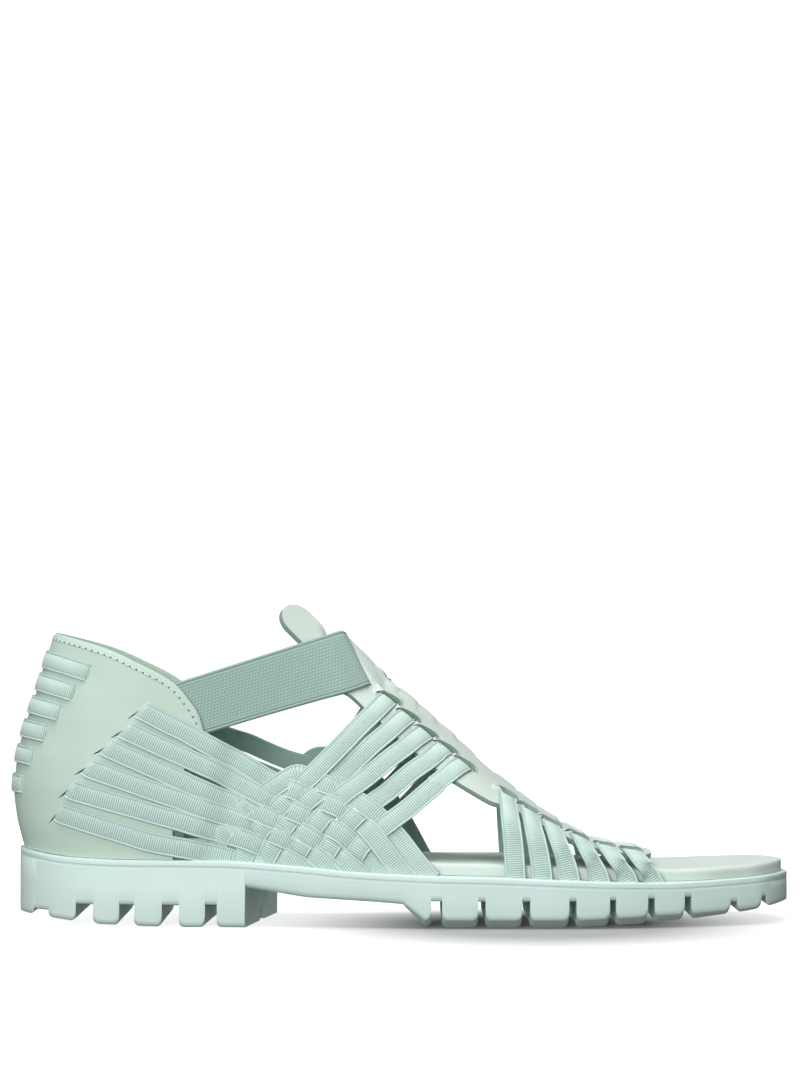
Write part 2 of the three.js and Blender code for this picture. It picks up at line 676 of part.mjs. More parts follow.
const forwardRoutes = forwardCurves.map((curve, i) => {
  const starts = forwardStarts(curve, FORWARD_TAPES[i], i === 0);
  const clear = forwardKnots[i].filter((knot) => knot.step > starts.at(-1).step);
  const stations = tapeStations(curve, clear, starts);
  if (i === 0) return stations;
  const row = FORWARD_TAPES[i];
  const mouth = sidePoint(row.topX - SLOT_MOUTH.back, row.topZ + SLOT_MOUTH.up);
  return [{ ...mouth, lift: SLOT_SINK }, ...stations];
});

// Backward tapes come off the spine's margin and settle on the last; the rear one starts at its loop
const MARGIN_STARTS = [
  { step: 0, lift: overSpineLift },
  { step: 4, lift: 0.8 * overSpineLift },
];
const LOOP_STARTS = [{ step: 0, lift: 0 }];
const backwardRoutes = backwardCurves.map((curve, j) =>
  tapeStations(curve, backwardKnots[j], j === 0 ? LOOP_STARTS : MARGIN_STARTS));

// Both sides of a strap from one half that starts under the middle of the spine
const wholeStrap = (half) => [...[...half].reverse(), ...mirrored(half.slice(1))];

// A backward tape runs from one foot over the weave, under the spine and down the other side
function wholeBackwardTape(route, j) {
  const { slotX } = BACKWARD_TAPES[j];
  return wholeStrap([...slotRoute(slotX, TAPE_LEAN), ...route.slice(1)]);
}

function makeWovenUpper() {
  const sides = [...forwardRoutes, backwardRoutes[0]].flatMap((route) => [route, mirrored(route)]);
  const overs = backwardRoutes.slice(1).map((route, i) => wholeBackwardTape(route, i + 1));
  const strips = [...sides, ...overs].map((route) => toSolid(tapeStrip(route.map(onLast))));
  const whole = joinAll(strips);
  return toGeometry(outerShell(whole.subtract(seatBlock), WEAVE_FINEST_EDGE));
}

// Toe straps: up from the sole, over the margin, through the slots and under the spine
function toeStrapStations({ slotX, footX }) {
  const slot = slotRoute(slotX, TOE_STRAP_LEAN);
  const foot = footPoint(footX);
  const edge = slot.at(-1);
  const bowed = (share) => ({
    x: THREE.MathUtils.lerp(edge.x, foot.x, share) + TOE_STRAP_BOW * share * (1 - share) * 2,
    wrap: THREE.MathUtils.lerp(edge.wrap, foot.wrap, share),
  });
  const side = [
    { ...bowed(0.25), lift: overSpineLift * 0.6 },
    { ...bowed(0.5), lift: 0.8 },
    { ...bowed(0.75), lift: 0.2 },
    { ...bowed(1), lift: 0 },
  ];
  return wholeStrap([...slot, ...side]).map(onLast);
}

const toeStraps = TOE_STRAPS.map(toeStrapStations);

// Instep band: two halves from inside the counter, over the spine's margins and into its slots
const bandHalves = [-1, 1].map((side) =>
  BAND_ROUTE.map(({ x, z, lift }) => onLast({ x, wrap: wrapAt(x, z, side), lift })));

// Heel tapes: round the back of the counter, their ends sunk in its slots
function heelTapeStations({ backZ, slotX, slotZ }) {
  const quarter = (x, z) => Math.acos(1 - (x - innerBack(z) + COUNTER_WALL) / HEEL_RADIUS) / (Math.PI / 2);
  const end = quarter(slotX, slotZ);
  const point = (turn, height) => {
    const x = innerBack(height) + turnReach(turn);
    const wall = lastPoint(x, wrapAt(x, height));
    return turn < 0 ? wall : new THREE.Vector3(x, -wall.y, height);
  };
  const heightAt = (turn) => THREE.MathUtils.lerp(backZ, slotZ, (turn / end) ** 2);
  const station = (turn, lift) => ({
    point: point(turn, heightAt(turn)),
    normal: outward(point, turn, heightAt(turn), { first: 0.01, second: 0.5 }, -1),
    lift,
  });
  const steps = 6;
  const around = Array.from({ length: steps + 1 }, (_, i) =>
    station(end * (2 * i / steps - 1), overCounterLift));
  const sunk = end + HEEL_TAPE_SINK;
  return [station(-sunk, SLOT_SINK), ...around, station(sunk, SLOT_SINK)];
}

const heelTapes = HEEL_TAPES.map(heelTapeStations);

// Slots: each strap's own dive, a little larger all round
const bothSides = (route) => [route.map(onLast), mirrored(route).map(onLast)];
const spineDives = [
  ...BACKWARD_TAPES.slice(1).flatMap(({ slotX }) => bothSides(slotRoute(slotX, TAPE_LEAN))),
  ...TOE_STRAPS.flatMap(({ slotX }) => bothSides(slotRoute(slotX, TOE_STRAP_LEAN))),
];
const SLOT_RUN_ON = 0.25;
const runOn = (stations) => {
  const [end, next] = stations;
  const point = end.point.clone().lerp(next.point, -SLOT_RUN_ON);
  return [{ ...end, point }, ...stations];
};
const spineCutters = [
  ...spineDives.map((stations) => slotCutter(stations, TAPE.width, TAPE.thickness)),
  ...bandHalves.map((stations) => slotCutter(runOn(stations), BAND.width, BAND.thickness)),
];
const counterCutters = [
  ...forwardRoutes.slice(1).flatMap((route) => bothSides(route.slice(0, 3)))
    .map((stations) => slotCutter(runOn(stations), TAPE.width, TAPE.thickness)),
  ...heelTapes.flatMap((stations) => [stations.slice(0, 2), stations.slice(-2).reverse()])
    .map((stations) => slotCutter(runOn(stations), HEEL_TAPE_WIDTH, TAPE.thickness)),
];

const sandal = new THREE.Group();

function addPiece(name, geometry, finish) {
  const mesh = new THREE.Mesh(geometry, new THREE.MeshStandardMaterial(finish));
  mesh.name = name;
  sandal.add(mesh);
}

addPiece('outsole', makeOutsole(), RUBBER);
addPiece('insole', makeInsole(), PALE_LEATHER);
addPiece('counter', makeCounter(counterCutters), LEATHER);
addPiece('woven_upper', makeWovenUpper(), ELASTIC);
addPiece('vamp_spine', makeSpine(spineCutters), PALE_LEATHER);
bandHalves.forEach((stations, i) => {
  addPiece(`instep_band_${['outer', 'inner'][i]}`, strip(stations, BAND.width, BAND.thickness), KNIT);
});
toeStraps.forEach((stations, i) => {
  const strap = outerShell(toSolid(tapeStrip(stations)).subtract(seatBlock));
  addPiece(`toe_strap_${i + 1}`, toGeometry(strap), ELASTIC);
});
heelTapes.forEach((stations, i) => {
  addPiece(`heel_tape_${i + 1}`, tapeStrip(stations, HEEL_TAPE_WIDTH), ELASTIC);
});

// Origin on the floor, under the middle of the shoe
const box = new THREE.Box3().setFromObject(sandal);
sandal.position.set(-(box.min.x + box.max.x) / 2, -(box.min.y + box.max.y) / 2, -box.min.z);

export default sandal;
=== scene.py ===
import math
from bisect import bisect_right

import bmesh
import bpy
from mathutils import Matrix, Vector, noise


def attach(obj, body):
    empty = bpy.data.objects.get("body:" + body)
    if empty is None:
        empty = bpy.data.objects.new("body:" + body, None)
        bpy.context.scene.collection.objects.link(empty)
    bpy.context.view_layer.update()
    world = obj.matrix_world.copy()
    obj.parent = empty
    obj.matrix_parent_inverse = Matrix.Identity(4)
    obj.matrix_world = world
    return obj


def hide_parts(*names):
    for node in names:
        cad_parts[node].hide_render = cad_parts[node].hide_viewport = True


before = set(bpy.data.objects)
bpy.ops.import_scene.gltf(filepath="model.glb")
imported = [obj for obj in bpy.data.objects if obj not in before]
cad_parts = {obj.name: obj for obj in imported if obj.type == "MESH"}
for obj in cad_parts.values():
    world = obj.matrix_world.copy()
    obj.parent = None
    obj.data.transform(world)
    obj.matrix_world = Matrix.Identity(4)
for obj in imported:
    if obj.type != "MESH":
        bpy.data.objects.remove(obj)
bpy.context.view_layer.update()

# Outsole
# One moulding of pale mint rubber: a low block heel, an open arch and a sprung forefoot cut into
# lugs, with a fine groove below its top edge. The upper is cemented to its top face.
# Sizes are millimetres, and SHOE_ORIGIN is where the frame's own origin lies in them.
SHOE_ORIGIN = Vector((137.007, 1.0, 1.0))
SHOE_LENGTH = 276
SOLE_BACK = 2.6
HEEL_RADIUS = 38
TOE_RADIUS = 13
HEEL_BREAST = 84.3
HEEL_FLARE = 1.4
BREAST_SKEW = 9
BREAST_REACH = 24
TOP_ROUND = 0.8
LUG_ROUND = 1.9
GROOVE_BELOW = 2.4
GROOVE_HALF = 0.55
GROOVE_DEPTH = 0.45
WAIST_SHARE = 0.35
WAIST_CLEAR = 0.1
TO_MIDDLE = -70
SHARP_ANGLE = 40
CHANNEL_HALF = 4.5
CHANNEL_HEIGHT = 6
CHANNEL_TAPER = 0.1
LAST = {
    "x": (0, 22, 45, 75, 100, 126, 154, 170, 190, 210, 232, 255, 276),
    "outer": (30, 30.5, 31, 32, 34, 36.5, 39.5, 40, 40, 38.5, 33.5, 25, 14),
    "inner": (30, 30.5, 31, 30, 27.5, 26.5, 32, 37, 41.5, 42, 39.5, 35, 28),
    "seat": (27.6, 25, 24.2, 24, 22.4, 20.1, 19, 18.7, 17.9, 17.1, 16.6, 17.4, 18.6),
    "crest": (180, 178, 170, 138, 105, 88.5, 65.2, 51, 35.6, 25.9, 22.9, 22.4, 22),
    "lean": (0, 0, 0, 2, 5, 6, 6, 6, 5, 5, 5, 5, 5),
}
UNDERSIDE = {
    "x": (0, 15, 32, 50, 62, 84.1, 84.3, 105, 128, 139, 146.5, 150, 200, 220, 240, 260, 276),
    "z": (5, 3.8, 2.1, 1.3, 1, 1, 14.9, 11.5, 10.2, 9.4, 1.5, 1, 1, 1.8, 3.3, 5.6, 8.6),
}
TREAD_BEVEL = {
    "x": (139, 150, 221, 252, 270),
    "inward": (1.2, 9, 9, 6, 1.2),
    "up": (2, 4.6, 4.6, 3.2, 2),
}
NOTCHES = {
    "from": (25, 40.4, 55.2, 70.2, 148.8, 165, 180.2, 196.5, 210.6, 224, 237, 9.4, 253.6, 265),
    "to": (31.2, 45.6, 61.2, 74.4, 152.6, 167.6, 183, 199, 212.8, 226.4, 239.4, 14.8, 256, 266.8),
    "deep": (6.2, 7, 7.4, 7.6, 9.4, 9.4, 9.4, 9.4, 9.2, 8.8, 8.2, 2.2, 4.2, 3.8),
}
RUBBER = (0.64, 0.79, 0.755)
RUBBER_SHADE = (0.6, 0.75, 0.715)


def clamp(value):
    return min(max(value, 0.0), 1.0)


def mix(a, b, share):
    return a + (b - a) * share


def ease(share):
    share = clamp(share)
    return share * share * (3 - 2 * share)


def column(table, key, name):
    """Smooth curve through one column of a table that never overshoots its rows."""
    keys, values = table[key], table[name]
    count = len(keys)
    slopes = [(values[i + 1] - values[i]) / (keys[i + 1] - keys[i]) for i in range(count - 1)]
    tangents = []
    for i in range(count):
        before, after = slopes[max(i - 1, 0)], slopes[min(i, count - 2)]
        tangents.append(0 if before * after <= 0 else 2 * before * after / (before + after))

    def curve(at):
        i = min(max(bisect_right(keys, at) - 1, 0), count - 2)
        span = keys[i + 1] - keys[i]
        t = clamp((at - keys[i]) / span)
        rise = values[i + 1] - values[i]
        start, end = tangents[i] * span, tangents[i + 1] * span
        return values[i] + t * (start + t * (3 * rise - 2 * start - end + t * (start + end - 2 * rise)))

    return curve


outer_edge = column(LAST, "x", "outer")
inner_edge = column(LAST, "x", "inner")
seat_height = column(LAST, "x", "seat")


def end_round(distance, radius):
    left = 1 - clamp(distance / radius)
    return math.sqrt(1 - left * left)


def draped_grid(columns, rows, place):
    """Grid whose point at column i and row j lies where place(i, j) puts it, in millimetres."""
    mesh = bmesh.new()
    bmesh.ops.create_grid(mesh, x_segments=columns, y_segments=rows, size=0.5)
    for vert in mesh.verts:
        i = round((vert.co.x + 0.5) * columns)
        j = round((vert.co.y + 0.5) * rows)
        vert.co = (Vector(place(i, j)) - SHOE_ORIGIN) / 1000
    return mesh


def close_up(mesh):
    """Merges a grid's seam and poles, fills its open ends and turns its faces outwards."""
    bmesh.ops.remove_doubles(mesh, verts=mesh.verts, dist=1e-6)
    bmesh.ops.dissolve_degenerate(mesh, edges=mesh.edges, dist=1e-6)
    rim = [edge for edge in mesh.edges if edge.is_boundary]
    bmesh.ops.holes_fill(mesh, edges=rim, sides=0)
    bmesh.ops.recalc_face_normals(mesh, faces=mesh.faces)
    return mesh


def add_piece(name, mesh, slot, *materials):
    for edge in mesh.edges:
        edge.smooth = edge.calc_face_angle(0) < math.radians(SHARP_ANGLE)
    data = bpy.data.meshes.new(name)
    mesh.to_mesh(data)
    mesh.free()
    for material in materials:
        data.materials.append(material)
    for face in data.polygons:
        face.use_smooth = True
    piece = bpy.data.objects.new(name, data)
    bpy.context.scene.collection.objects.link(piece)
    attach(piece, "root")
    return piece


class Finish:
    """One procedural material on Object coordinates: its shader, and nodes added by short calls."""

    def __init__(self, name, roughness, specular=0.4, sheen=0.0):
        self.material = bpy.data.materials.new(name)
        self.material.use_nodes = True
        self.tree = self.material.node_tree
        self.shader = self.tree.nodes["Principled BSDF"]
        self.shader.inputs["Roughness"].default_value = roughness
        self.shader.inputs["Specular IOR Level"].default_value = specular
        self.shader.inputs["Sheen Weight"].default_value = sheen
        self.place = self.node("ShaderNodeTexCoord").outputs["Object"]

    def node(self, kind, **values):
        made = self.tree.nodes.new(kind)
        for key, value in values.items():
            if key in made.inputs:
                made.inputs[key].default_value = value
            else:
                setattr(made, key, value)
        return made

    def link(self, source, node, socket):
        self.tree.links.new(source, node.inputs[socket])

    def speckle(self, scale, detail=3):
        made = self.node("ShaderNodeTexNoise", Scale=scale, Detail=detail)
        self.link(self.place, made, "Vector")
        return made.outputs["Fac"]

    def blend(self, share, low, high, start=0.35, end=0.65):
        ramp = self.node("ShaderNodeValToRGB")
        ramp.color_ramp.elements[0].position = start
        ramp.color_ramp.elements[0].color = (*low, 1)
        ramp.color_ramp.elements[1].position = end
        ramp.color_ramp.elements[1].color = (*high, 1)
        self.link(share, ramp, "Fac")
        return ramp.outputs["Color"]

    def colour(self, source):
        self.link(source, self.shader, "Base Color")

    def dull(self, share, low, high):
        spread = self.node("ShaderNodeMapRange", **{"To Min": low, "To Max": high})
        self.link(share, spread, "Value")
        self.link(spread.outputs["Result"], self.shader, "Roughness")

    def bump(self, height, distance, strength=1.0):
        made = self.node("ShaderNodeBump", Strength=strength, Distance=distance)
        self.link(height, made, "Height")
        self.link(made.outputs["Normal"], self.shader, "Normal")


rubber = Finish("mint_rubber", roughness=0.5)
rubber.colour(rubber.blend(rubber.speckle(28), RUBBER_SHADE, RUBBER))
rubber.dull(rubber.speckle(160), 0.46, 0.58)
rubber.bump(rubber.speckle(2600, 2), 0.00003)


def underside(x):
    keys, heights = UNDERSIDE["x"], UNDERSIDE["z"]
    i = min(max(bisect_right(keys, x) - 1, 0), len(keys) - 2)
    return mix(heights[i], heights[i + 1], (x - keys[i]) / (keys[i + 1] - keys[i]))


bevel_inward = column(TREAD_BEVEL, "x", "inward")
bevel_up = column(TREAD_BEVEL, "x", "up")


def tread(x):
    """Underside with its notches, the corners of the lugs rounded."""
    base = underside(x)
    for start, end, deep in zip(NOTCHES["from"], NOTCHES["to"], NOTCHES["deep"]):
        if start <= x <= end:
            return underside((start + end) / 2) + deep
        gap = max(start - x, x - end)
        if gap < LUG_ROUND:
            return base + LUG_ROUND - math.sqrt(LUG_ROUND ** 2 - (LUG_ROUND - gap) ** 2)
    return base


def sole_stations():
    turns = [i / 24 * math.pi / 2 for i in range(25)]
    heel = [SOLE_BACK + HEEL_RADIUS * (1 - math.cos(turn)) for turn in turns]
    toe = [SHOE_LENGTH - TOE_RADIUS * (1 - math.cos(turn)) for turn in turns]
    plain = list(range(43, 263, 3))
    bends = UNDERSIDE["x"][5:7] + UNDERSIDE["x"][9:12]
    breaks = [x + side for x in bends for side in (-0.6, -0.2, 0, 0.2, 0.6)]
    corners = [LUG_ROUND * share for share in (-1, -0.7, -0.4, -0.2, -0.07, -0.006, 0.006)]
    notches = [start + step for start in NOTCHES["from"] for step in corners]
    notches += [end - step for end in NOTCHES["to"] for step in corners]
    return sorted(set(heel + toe + plain + breaks + notches))


def sole_side(x):
    """Half section from the middle of the top, down the side, to the middle of the tread."""
    top, bottom = seat_height(x), tread(x)
    round_share = end_round(x - SOLE_BACK, HEEL_RADIUS) * end_round(SHOE_LENGTH - x, TOE_RADIUS)
    flare = HEEL_FLARE * round_share if x < HEEL_BREAST else 0
    groove, base = top - GROOVE_BELOW, underside(x)
    notched = bottom - base > LUG_ROUND
    edge = bottom if notched else bottom + bevel_up(x) - LUG_ROUND
    waist = max(mix(groove, base, WAIST_SHARE), edge + LUG_ROUND + WAIST_CLEAR)

    def out_at(z):
        return flare * clamp((groove - z) / (groove - base))

    channelled = (NOTCHES["from"][0] < x < HEEL_BREAST) or (NOTCHES["from"][4] < x < NOTCHES["to"][10])
    channel = max(bottom, CHANNEL_HEIGHT) if channelled else bottom
    corner = [math.radians(angle) for angle in (0, 30, 60, 90)]
    side = [(TO_MIDDLE, top)]
    side += [(TOP_ROUND * (math.sin(a) - 1), top - TOP_ROUND * (1 - math.cos(a))) for a in corner]
    steps = (-1, -0.5, 0, 0.5, 1)
    side += [(-GROOVE_DEPTH * (1 - step * step), groove - step * GROOVE_HALF) for step in steps]
    side += [(out_at(waist), waist)]
    foot_out = out_at(edge) - LUG_ROUND
    side += [(foot_out + LUG_ROUND * math.cos(a), edge + LUG_ROUND * (1 - math.sin(a))) for a in corner]
    side += [(out_at(edge) - bevel_inward(x), bottom)]
    return side, channel


def sole_grid():
    stations = sole_stations()
    count = len(sole_side(100)[0])
    ring = 2 * (count + 2)

    def place(i, j):
        x = stations[j]
        side, channel = sole_side(x)
        round_share = end_round(x - SOLE_BACK, HEEL_RADIUS) * end_round(SHOE_LENGTH - x, TOE_RADIUS)
        step = i % ring
        hand, k = (-1, step) if step < ring / 2 else (1, ring - 1 - step)
        half = (outer_edge(x) if hand < 0 else inner_edge(x)) * round_share
        if k < count:
            out, z = side[k]
            y = hand * max(half + out, 0)
        else:
            z = side[-1][1] if k == count else channel
            y = hand * min(CHANNEL_HALF + CHANNEL_TAPER * (count - k), half)
        inward = clamp((y + outer_edge(x)) / (outer_edge(x) + inner_edge(x)))
        skew = BREAST_SKEW * inward * ease(1 - abs(x - HEEL_BREAST) / BREAST_REACH)
        return (x + skew, y, z)

    return draped_grid(ring, len(stations) - 1, place)


outsole = add_piece("rubber_outsole", close_up(sole_grid()), "rubber", rubber.material)
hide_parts("outsole")

# Insole
# A pale sage leather sock wrapped over a thin foam board, its rim rolled down to the sole.
# It is cemented inside the feet of the straps, and reaches the sole's edge ahead of the toe straps.
INSOLE_HEEL = 7.4
INSOLE_TOE = 274
INSOLE_THICKNESS = 4.2
INSOLE_ROLL = 1.7
SEAT_GAP = 0.1
INSOLE_INSET = {"x": (231, 246), "inset": (5.6, 2)}
PALE_LEATHER = (0.62, 0.71, 0.65)
PALE_LEATHER_SHADE = (0.58, 0.67, 0.61)
insole_inset = column(INSOLE_INSET, "x", "inset")


def leather(name, light, shade, grain_scale):
    made = Finish(name, roughness=0.55, specular=0.35)
    made.colour(made.blend(made.speckle(22), shade, light))
    grain = made.node("ShaderNodeTexVoronoi", Scale=grain_scale)
    made.link(made.place, grain, "Vector")
    made.dull(made.speckle(90), 0.5, 0.64)
    made.bump(grain.outputs["Distance"], 0.00006, 0.6)
    return made


pale_leather = leather("pale_sage_leather", PALE_LEATHER, PALE_LEATHER_SHADE, 1500)


def insole_grid():
    turns = [i / 20 * math.pi / 2 for i in range(21)]
    heel = [INSOLE_HEEL + HEEL_RADIUS * (1 - math.cos(turn)) for turn in turns]
    toe = [INSOLE_TOE - TOE_RADIUS * (1 - math.cos(turn)) for turn in turns]
    stations = sorted(set(heel + list(range(48, 261, 4)) + toe))
    corner = [math.radians(angle) for angle in (0, 22, 45, 68, 90)]

    def section(x):
        bottom = seat_height(x) + SEAT_GAP
        top = bottom + INSOLE_THICKNESS
        side = [(TO_MIDDLE, top), (-9, top), (-4.5, top)]
        side += [(INSOLE_ROLL * (math.sin(a) - 1), top - INSOLE_ROLL * (1 - math.cos(a))) for a in corner]
        side += [(0, bottom + 1), (-0.5, bottom), (TO_MIDDLE, bottom)]
        return side

    count = len(section(100))

    def place(i, j):
        x = stations[j]
        step = i % (2 * count)
        hand, k = (-1, step) if step < count else (1, 2 * count - 1 - step)
        edge = outer_edge(x) if hand < 0 else inner_edge(x)
        half = (edge - insole_inset(x)) * end_round(x - INSOLE_HEEL, HEEL_RADIUS)
        half *= end_round(INSOLE_TOE - x, TOE_RADIUS)
        out, z = section(x)[k]
        return (x, hand * max(half + out, 0), z)

    return draped_grid(2 * count, len(stations) - 1, place)


insole = add_piece("leather_insole", close_up(insole_grid()), "pale_leather", pale_leather.material)
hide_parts("insole")

# Counter
# A cup of smooth sage leather, two millimetres thick, cemented to the sole round the heel. Its
# collar is turned and stitched near the edge, and slits in it take the ends of the tapes.
UPPER_INSET = 3.2
COUNTER_WALL = 2
COUNTER_TURN = 1.45
COUNTER_FRONT_X = 69
COUNTER_FOOT_X = 58
COUNTER_EDGE = 0.7
PUCKERS = ((0.5, 19), (0.22, 8))
CROWN = 0.7
SHOULDER = {"x": (150, 180, 200, 225), "power": (1.4, 2.4, 3.4, 4)}
SPINE_SHIFT = {"x": (62, 108), "shift": (0, 0.1)}
HEEL_CURVE = {
    "z": (24, 39, 48, 56, 69, 82, 104),
    "x": (5, 1.2, 0.3, 0.9, 3.7, 8, 14.7),
}
COLLAR = {
    "x": (14, 35.6, 47.4, 59, 64.8, 68.2, 69.2),
    "z": (103.6, 97.6, 92.4, 85.8, 79, 72.7, 68),
}
SIDE_SLITS = {
    "x": (47.5, 42, 36, 29.5, 23.5, 19.5),
    "z": (76, 69, 63, 56, 48.5, 40.5),
    "rise": (0.65, 0.54, 0.47, 0.53, 0.71, 1.0),
}
SLIT_LENGTH = 10
SLIT_OVERRUN = 1.1
SLIT_WIDTH = 0.8
HEEL_SLIT_LENGTH = 7.4
STITCH_PITCH = 2.5
STITCH_INSET = 2.3
LEATHER = (0.515, 0.65, 0.565)
LEATHER_SHADE = (0.475, 0.61, 0.525)
# Dark colour of the spine's cut edges and of the walls of every slit; on the slit walls it paints the shade
# inside the slits.
RAW_EDGE_AND_SLIT_SHADE = (0.2, 0.29, 0.245)
RAW_EDGE_AND_SLIT_SHADE_LIGHT = (0.3, 0.4, 0.345)

crest_height = column(LAST, "x", "crest")
crest_lean = column(LAST, "x", "lean")
heel_back = column(HEEL_CURVE, "z", "x")
collar_height = column(COLLAR, "x", "z")
shoulder = column(SHOULDER, "x", "power")
spine_shift = column(SPINE_SHIFT, "x", "shift")


def inner_back(z):
    return heel_back(z) + COUNTER_WALL


def last_point(x, wrap):
    """Point of the last: wrap runs from -1 at the outer sole edge over the spine to 1 at the inner."""
    turn = wrap - spine_shift(x) * (1 - wrap * wrap)
    side = -1 if turn < 0 else 1
    rise = 1 - abs(turn) ** (1 / CROWN)
    seat = seat_height(x)
    z = seat + (crest_height(x) - seat) * rise
    lean = crest_lean(x)
    edge = (outer_edge(x) if side < 0 else inner_edge(x)) - UPPER_INSET
    reach = (1 - clamp(rise) ** shoulder(x)) ** CROWN
    y = lean + side * (edge - side * lean) * reach
    return Vector((x, y * end_round(x - inner_back(z), HEEL_RADIUS), z))


def wrap_at(x, z, side=-1):
    seat = seat_height(x)
    rise = min((z - seat) / (crest_height(x) - seat), 1)
    shift = spine_shift(x)
    turn = shift + side * (1 - rise) ** CROWN
    return 2 * turn / (1 + math.sqrt(1 + 4 * shift * turn))


def outward(point_at, first, second, step_first, step_second, side):
    along = point_at(first + step_first, second) - point_at(first - step_first, second)
    up = point_at(first, second + step_second) - point_at(first, second - step_second)
    return along.cross(up).normalized() * side


def last_normal(x, wrap):
    return outward(last_point, x, wrap, 0.4, 0.004, 1)


def turn_reach(turn):
    size = abs(turn)
    round_part = HEEL_RADIUS * (1 - math.cos(min(size, 1) * math.pi / 2))
    return round_part + max(size - 1, 0) * HEEL_RADIUS * math.pi / 2


def counter_point(turn, share):
    along = turn_reach(turn) / turn_reach(COUNTER_TURN)
    top_back = inner_back(COLLAR["z"][0])
    top_z = collar_height(mix(top_back, COUNTER_FRONT_X, along))
    foot_z = seat_height(along * COUNTER_FOOT_X) + SEAT_GAP
    z = mix(foot_z, top_z, share)
    foot_reach = along * (COUNTER_FOOT_X - inner_back(seat_height(0)))
    top_reach = along * (COUNTER_FRONT_X - inner_back(top_z))
    x = inner_back(z) + mix(foot_reach, top_reach, share)
    wall = last_point(x, wrap_at(x, z))
    return Vector((x, wall.y if turn < 0 else -wall.y, z))


def counter_normal(turn, share):
    return outward(counter_point, turn, share, 0.01, 0.01, -1)


def counter_face(turn, share, lift):
    point = counter_point(turn, share)
    pucker = sum(height * noise.noise(point / span) for height, span in PUCKERS)
    return point + counter_normal(turn, share) * (lift + pucker * ease(share * 3) * ease((1 - share) * 5))


def counter_grid():
    columns, levels = 120, 48
    across = [(level / levels, COUNTER_WALL) for level in range(levels)]
    across += [(1, COUNTER_WALL - COUNTER_EDGE), (1, COUNTER_EDGE)]
    across += [((levels - 1 - level) / levels, 0) for level in range(levels)]

    def place(i, j):
        turn = COUNTER_TURN * (2 * j / columns - 1)
        share, lift = across[i % len(across)]
        return counter_face(turn, share, lift)

    return draped_grid(len(across), columns, place)


sage_leather = leather("sage_leather", LEATHER, LEATHER_SHADE, 1700)
raw_edge_and_slit_shade_finish = leather("raw_edge_and_painted_slit_shade", RAW_EDGE_AND_SLIT_SHADE_LIGHT, RAW_EDGE_AND_SLIT_SHADE, 2600)


def cut_slots(piece, cutters, material):
    """Cuts the joined cutters out of a piece, their walls in the material of a raw edge, whose dark colour
    paints the shade inside each slot.
    """
    data = bpy.data.meshes.new("slot_cutters")
    cutters.to_mesh(data)
    cutters.free()
    data.materials.append(material)
    cutter = bpy.data.objects.new("slot_cutters", data)
    bpy.context.scene.collection.objects.link(cutter)
    cut = piece.modifiers.new("slots", "BOOLEAN")
    cut.operation = "DIFFERENCE"
    cut.solver = "EXACT"
    cut.use_self = True
    cut.material_mode = "TRANSFER"
    cut.object = cutter
    whole = piece.evaluated_get(bpy.context.evaluated_depsgraph_get())
    cut_data = bpy.data.meshes.new_from_object(whole)
    piece.modifiers.clear()
    piece.data = cut_data
    bpy.data.objects.remove(cutter)


def join_part(whole, part):
    data = bpy.data.meshes.new("part")
    part.to_mesh(data)
    part.free()
    whole.from_mesh(data)
    bpy.data.meshes.remove(data)


def add_slit(whole, centre, along, across, normal, length, width, depth, bow=0):
    """One lens-shaped cutter: a slit along the surface, bowed to one side, through its thickness."""
    steps = 8

    def place(i, j):
        share = 2 * j / steps - 1
        taper = 1 - share * share
        near, far = -width / 2 * taper, width / 2 * taper + bow * taper
        out, lift = ((near, -depth), (far, -depth), (far, depth), (near, depth))[i % 4]
        return centre + along * (share * length / 2) + across * out + normal * lift

    join_part(whole, close_up(draped_grid(4, steps, place)))


def side_frame(x, z, rise, side):
    """Outer face of the counter at a slit: its centre, normal, and the slit's own direction."""
    wrap = wrap_at(x, z)
    point, normal = last_point(x, wrap), last_normal(x, wrap)
    ahead_x, ahead_z = x + 1, z + rise
    along = last_point(ahead_x, wrap_at(ahead_x, ahead_z)) - point
    if side > 0:
        flip = Vector((1, -1, 1))
        point, normal, along = point * flip, normal * flip, along * flip
    along = (along - normal * along.dot(normal)).normalized()
    return point, normal, along


counter = add_piece("leather_counter", close_up(counter_grid()), "leather", sage_leather.material)
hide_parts("counter")

# Collar stitching
# A row of lockstitch in matching thread along the collar, a little in from the turned edge, each
# stitch pulled into its own needle hole, drawn as a flat dark disc of painted shade.
THREAD = (0.6, 0.75, 0.66)
HOLE_SHADE = (0.1, 0.17, 0.14, 1)
THREAD_RADIUS = 0.3
THREAD_RISE = 0.14
THREAD_SINK = 0.1
STITCH_SPAN = (0.12, 0.88)
STITCHED_SHARE = 0.995
HOLE_SHADE_RADIUS = 0.42
HOLE_SHADE_FLATNESS = 0.3


def stitch_places():
    """Equal steps along the collar, measured on the leather's outer face."""
    line = []
    steps = 800
    for step in range(steps + 1):
        turn = COUNTER_TURN * (2 * step / steps - 1) * STITCHED_SHARE
        height = (counter_point(turn, 1) - counter_point(turn, 0)).length
        share = 1 - STITCH_INSET / height
        line.append((counter_face(turn, share, COUNTER_WALL), counter_normal(turn, share)))
    places, run = [line[0]], 0.0
    for (before, _), (point, normal) in zip(line, line[1:]):
        run += (point - before).length
        if run >= STITCH_PITCH:
            places.append((point, normal))
            run = 0.0
    return places


def thread_grid(places):
    whole = bmesh.new()
    rings, sides = 6, 6
    for (start, normal), (end, _) in zip(places, places[1:]):
        along = end - start
        across = along.cross(normal).normalized()

        def place(i, j):
            run = mix(*STITCH_SPAN, j / rings)
            plump = math.sin(math.pi * run)
            turn = 2 * math.pi * (i % sides) / sides
            body = across * math.cos(turn) + normal * math.sin(turn)
            middle = start + along * run + normal * (THREAD_RISE * plump - THREAD_SINK)
            return middle + body * THREAD_RADIUS * plump

        join_part(whole, close_up(draped_grid(sides, rings, place)))
    return whole


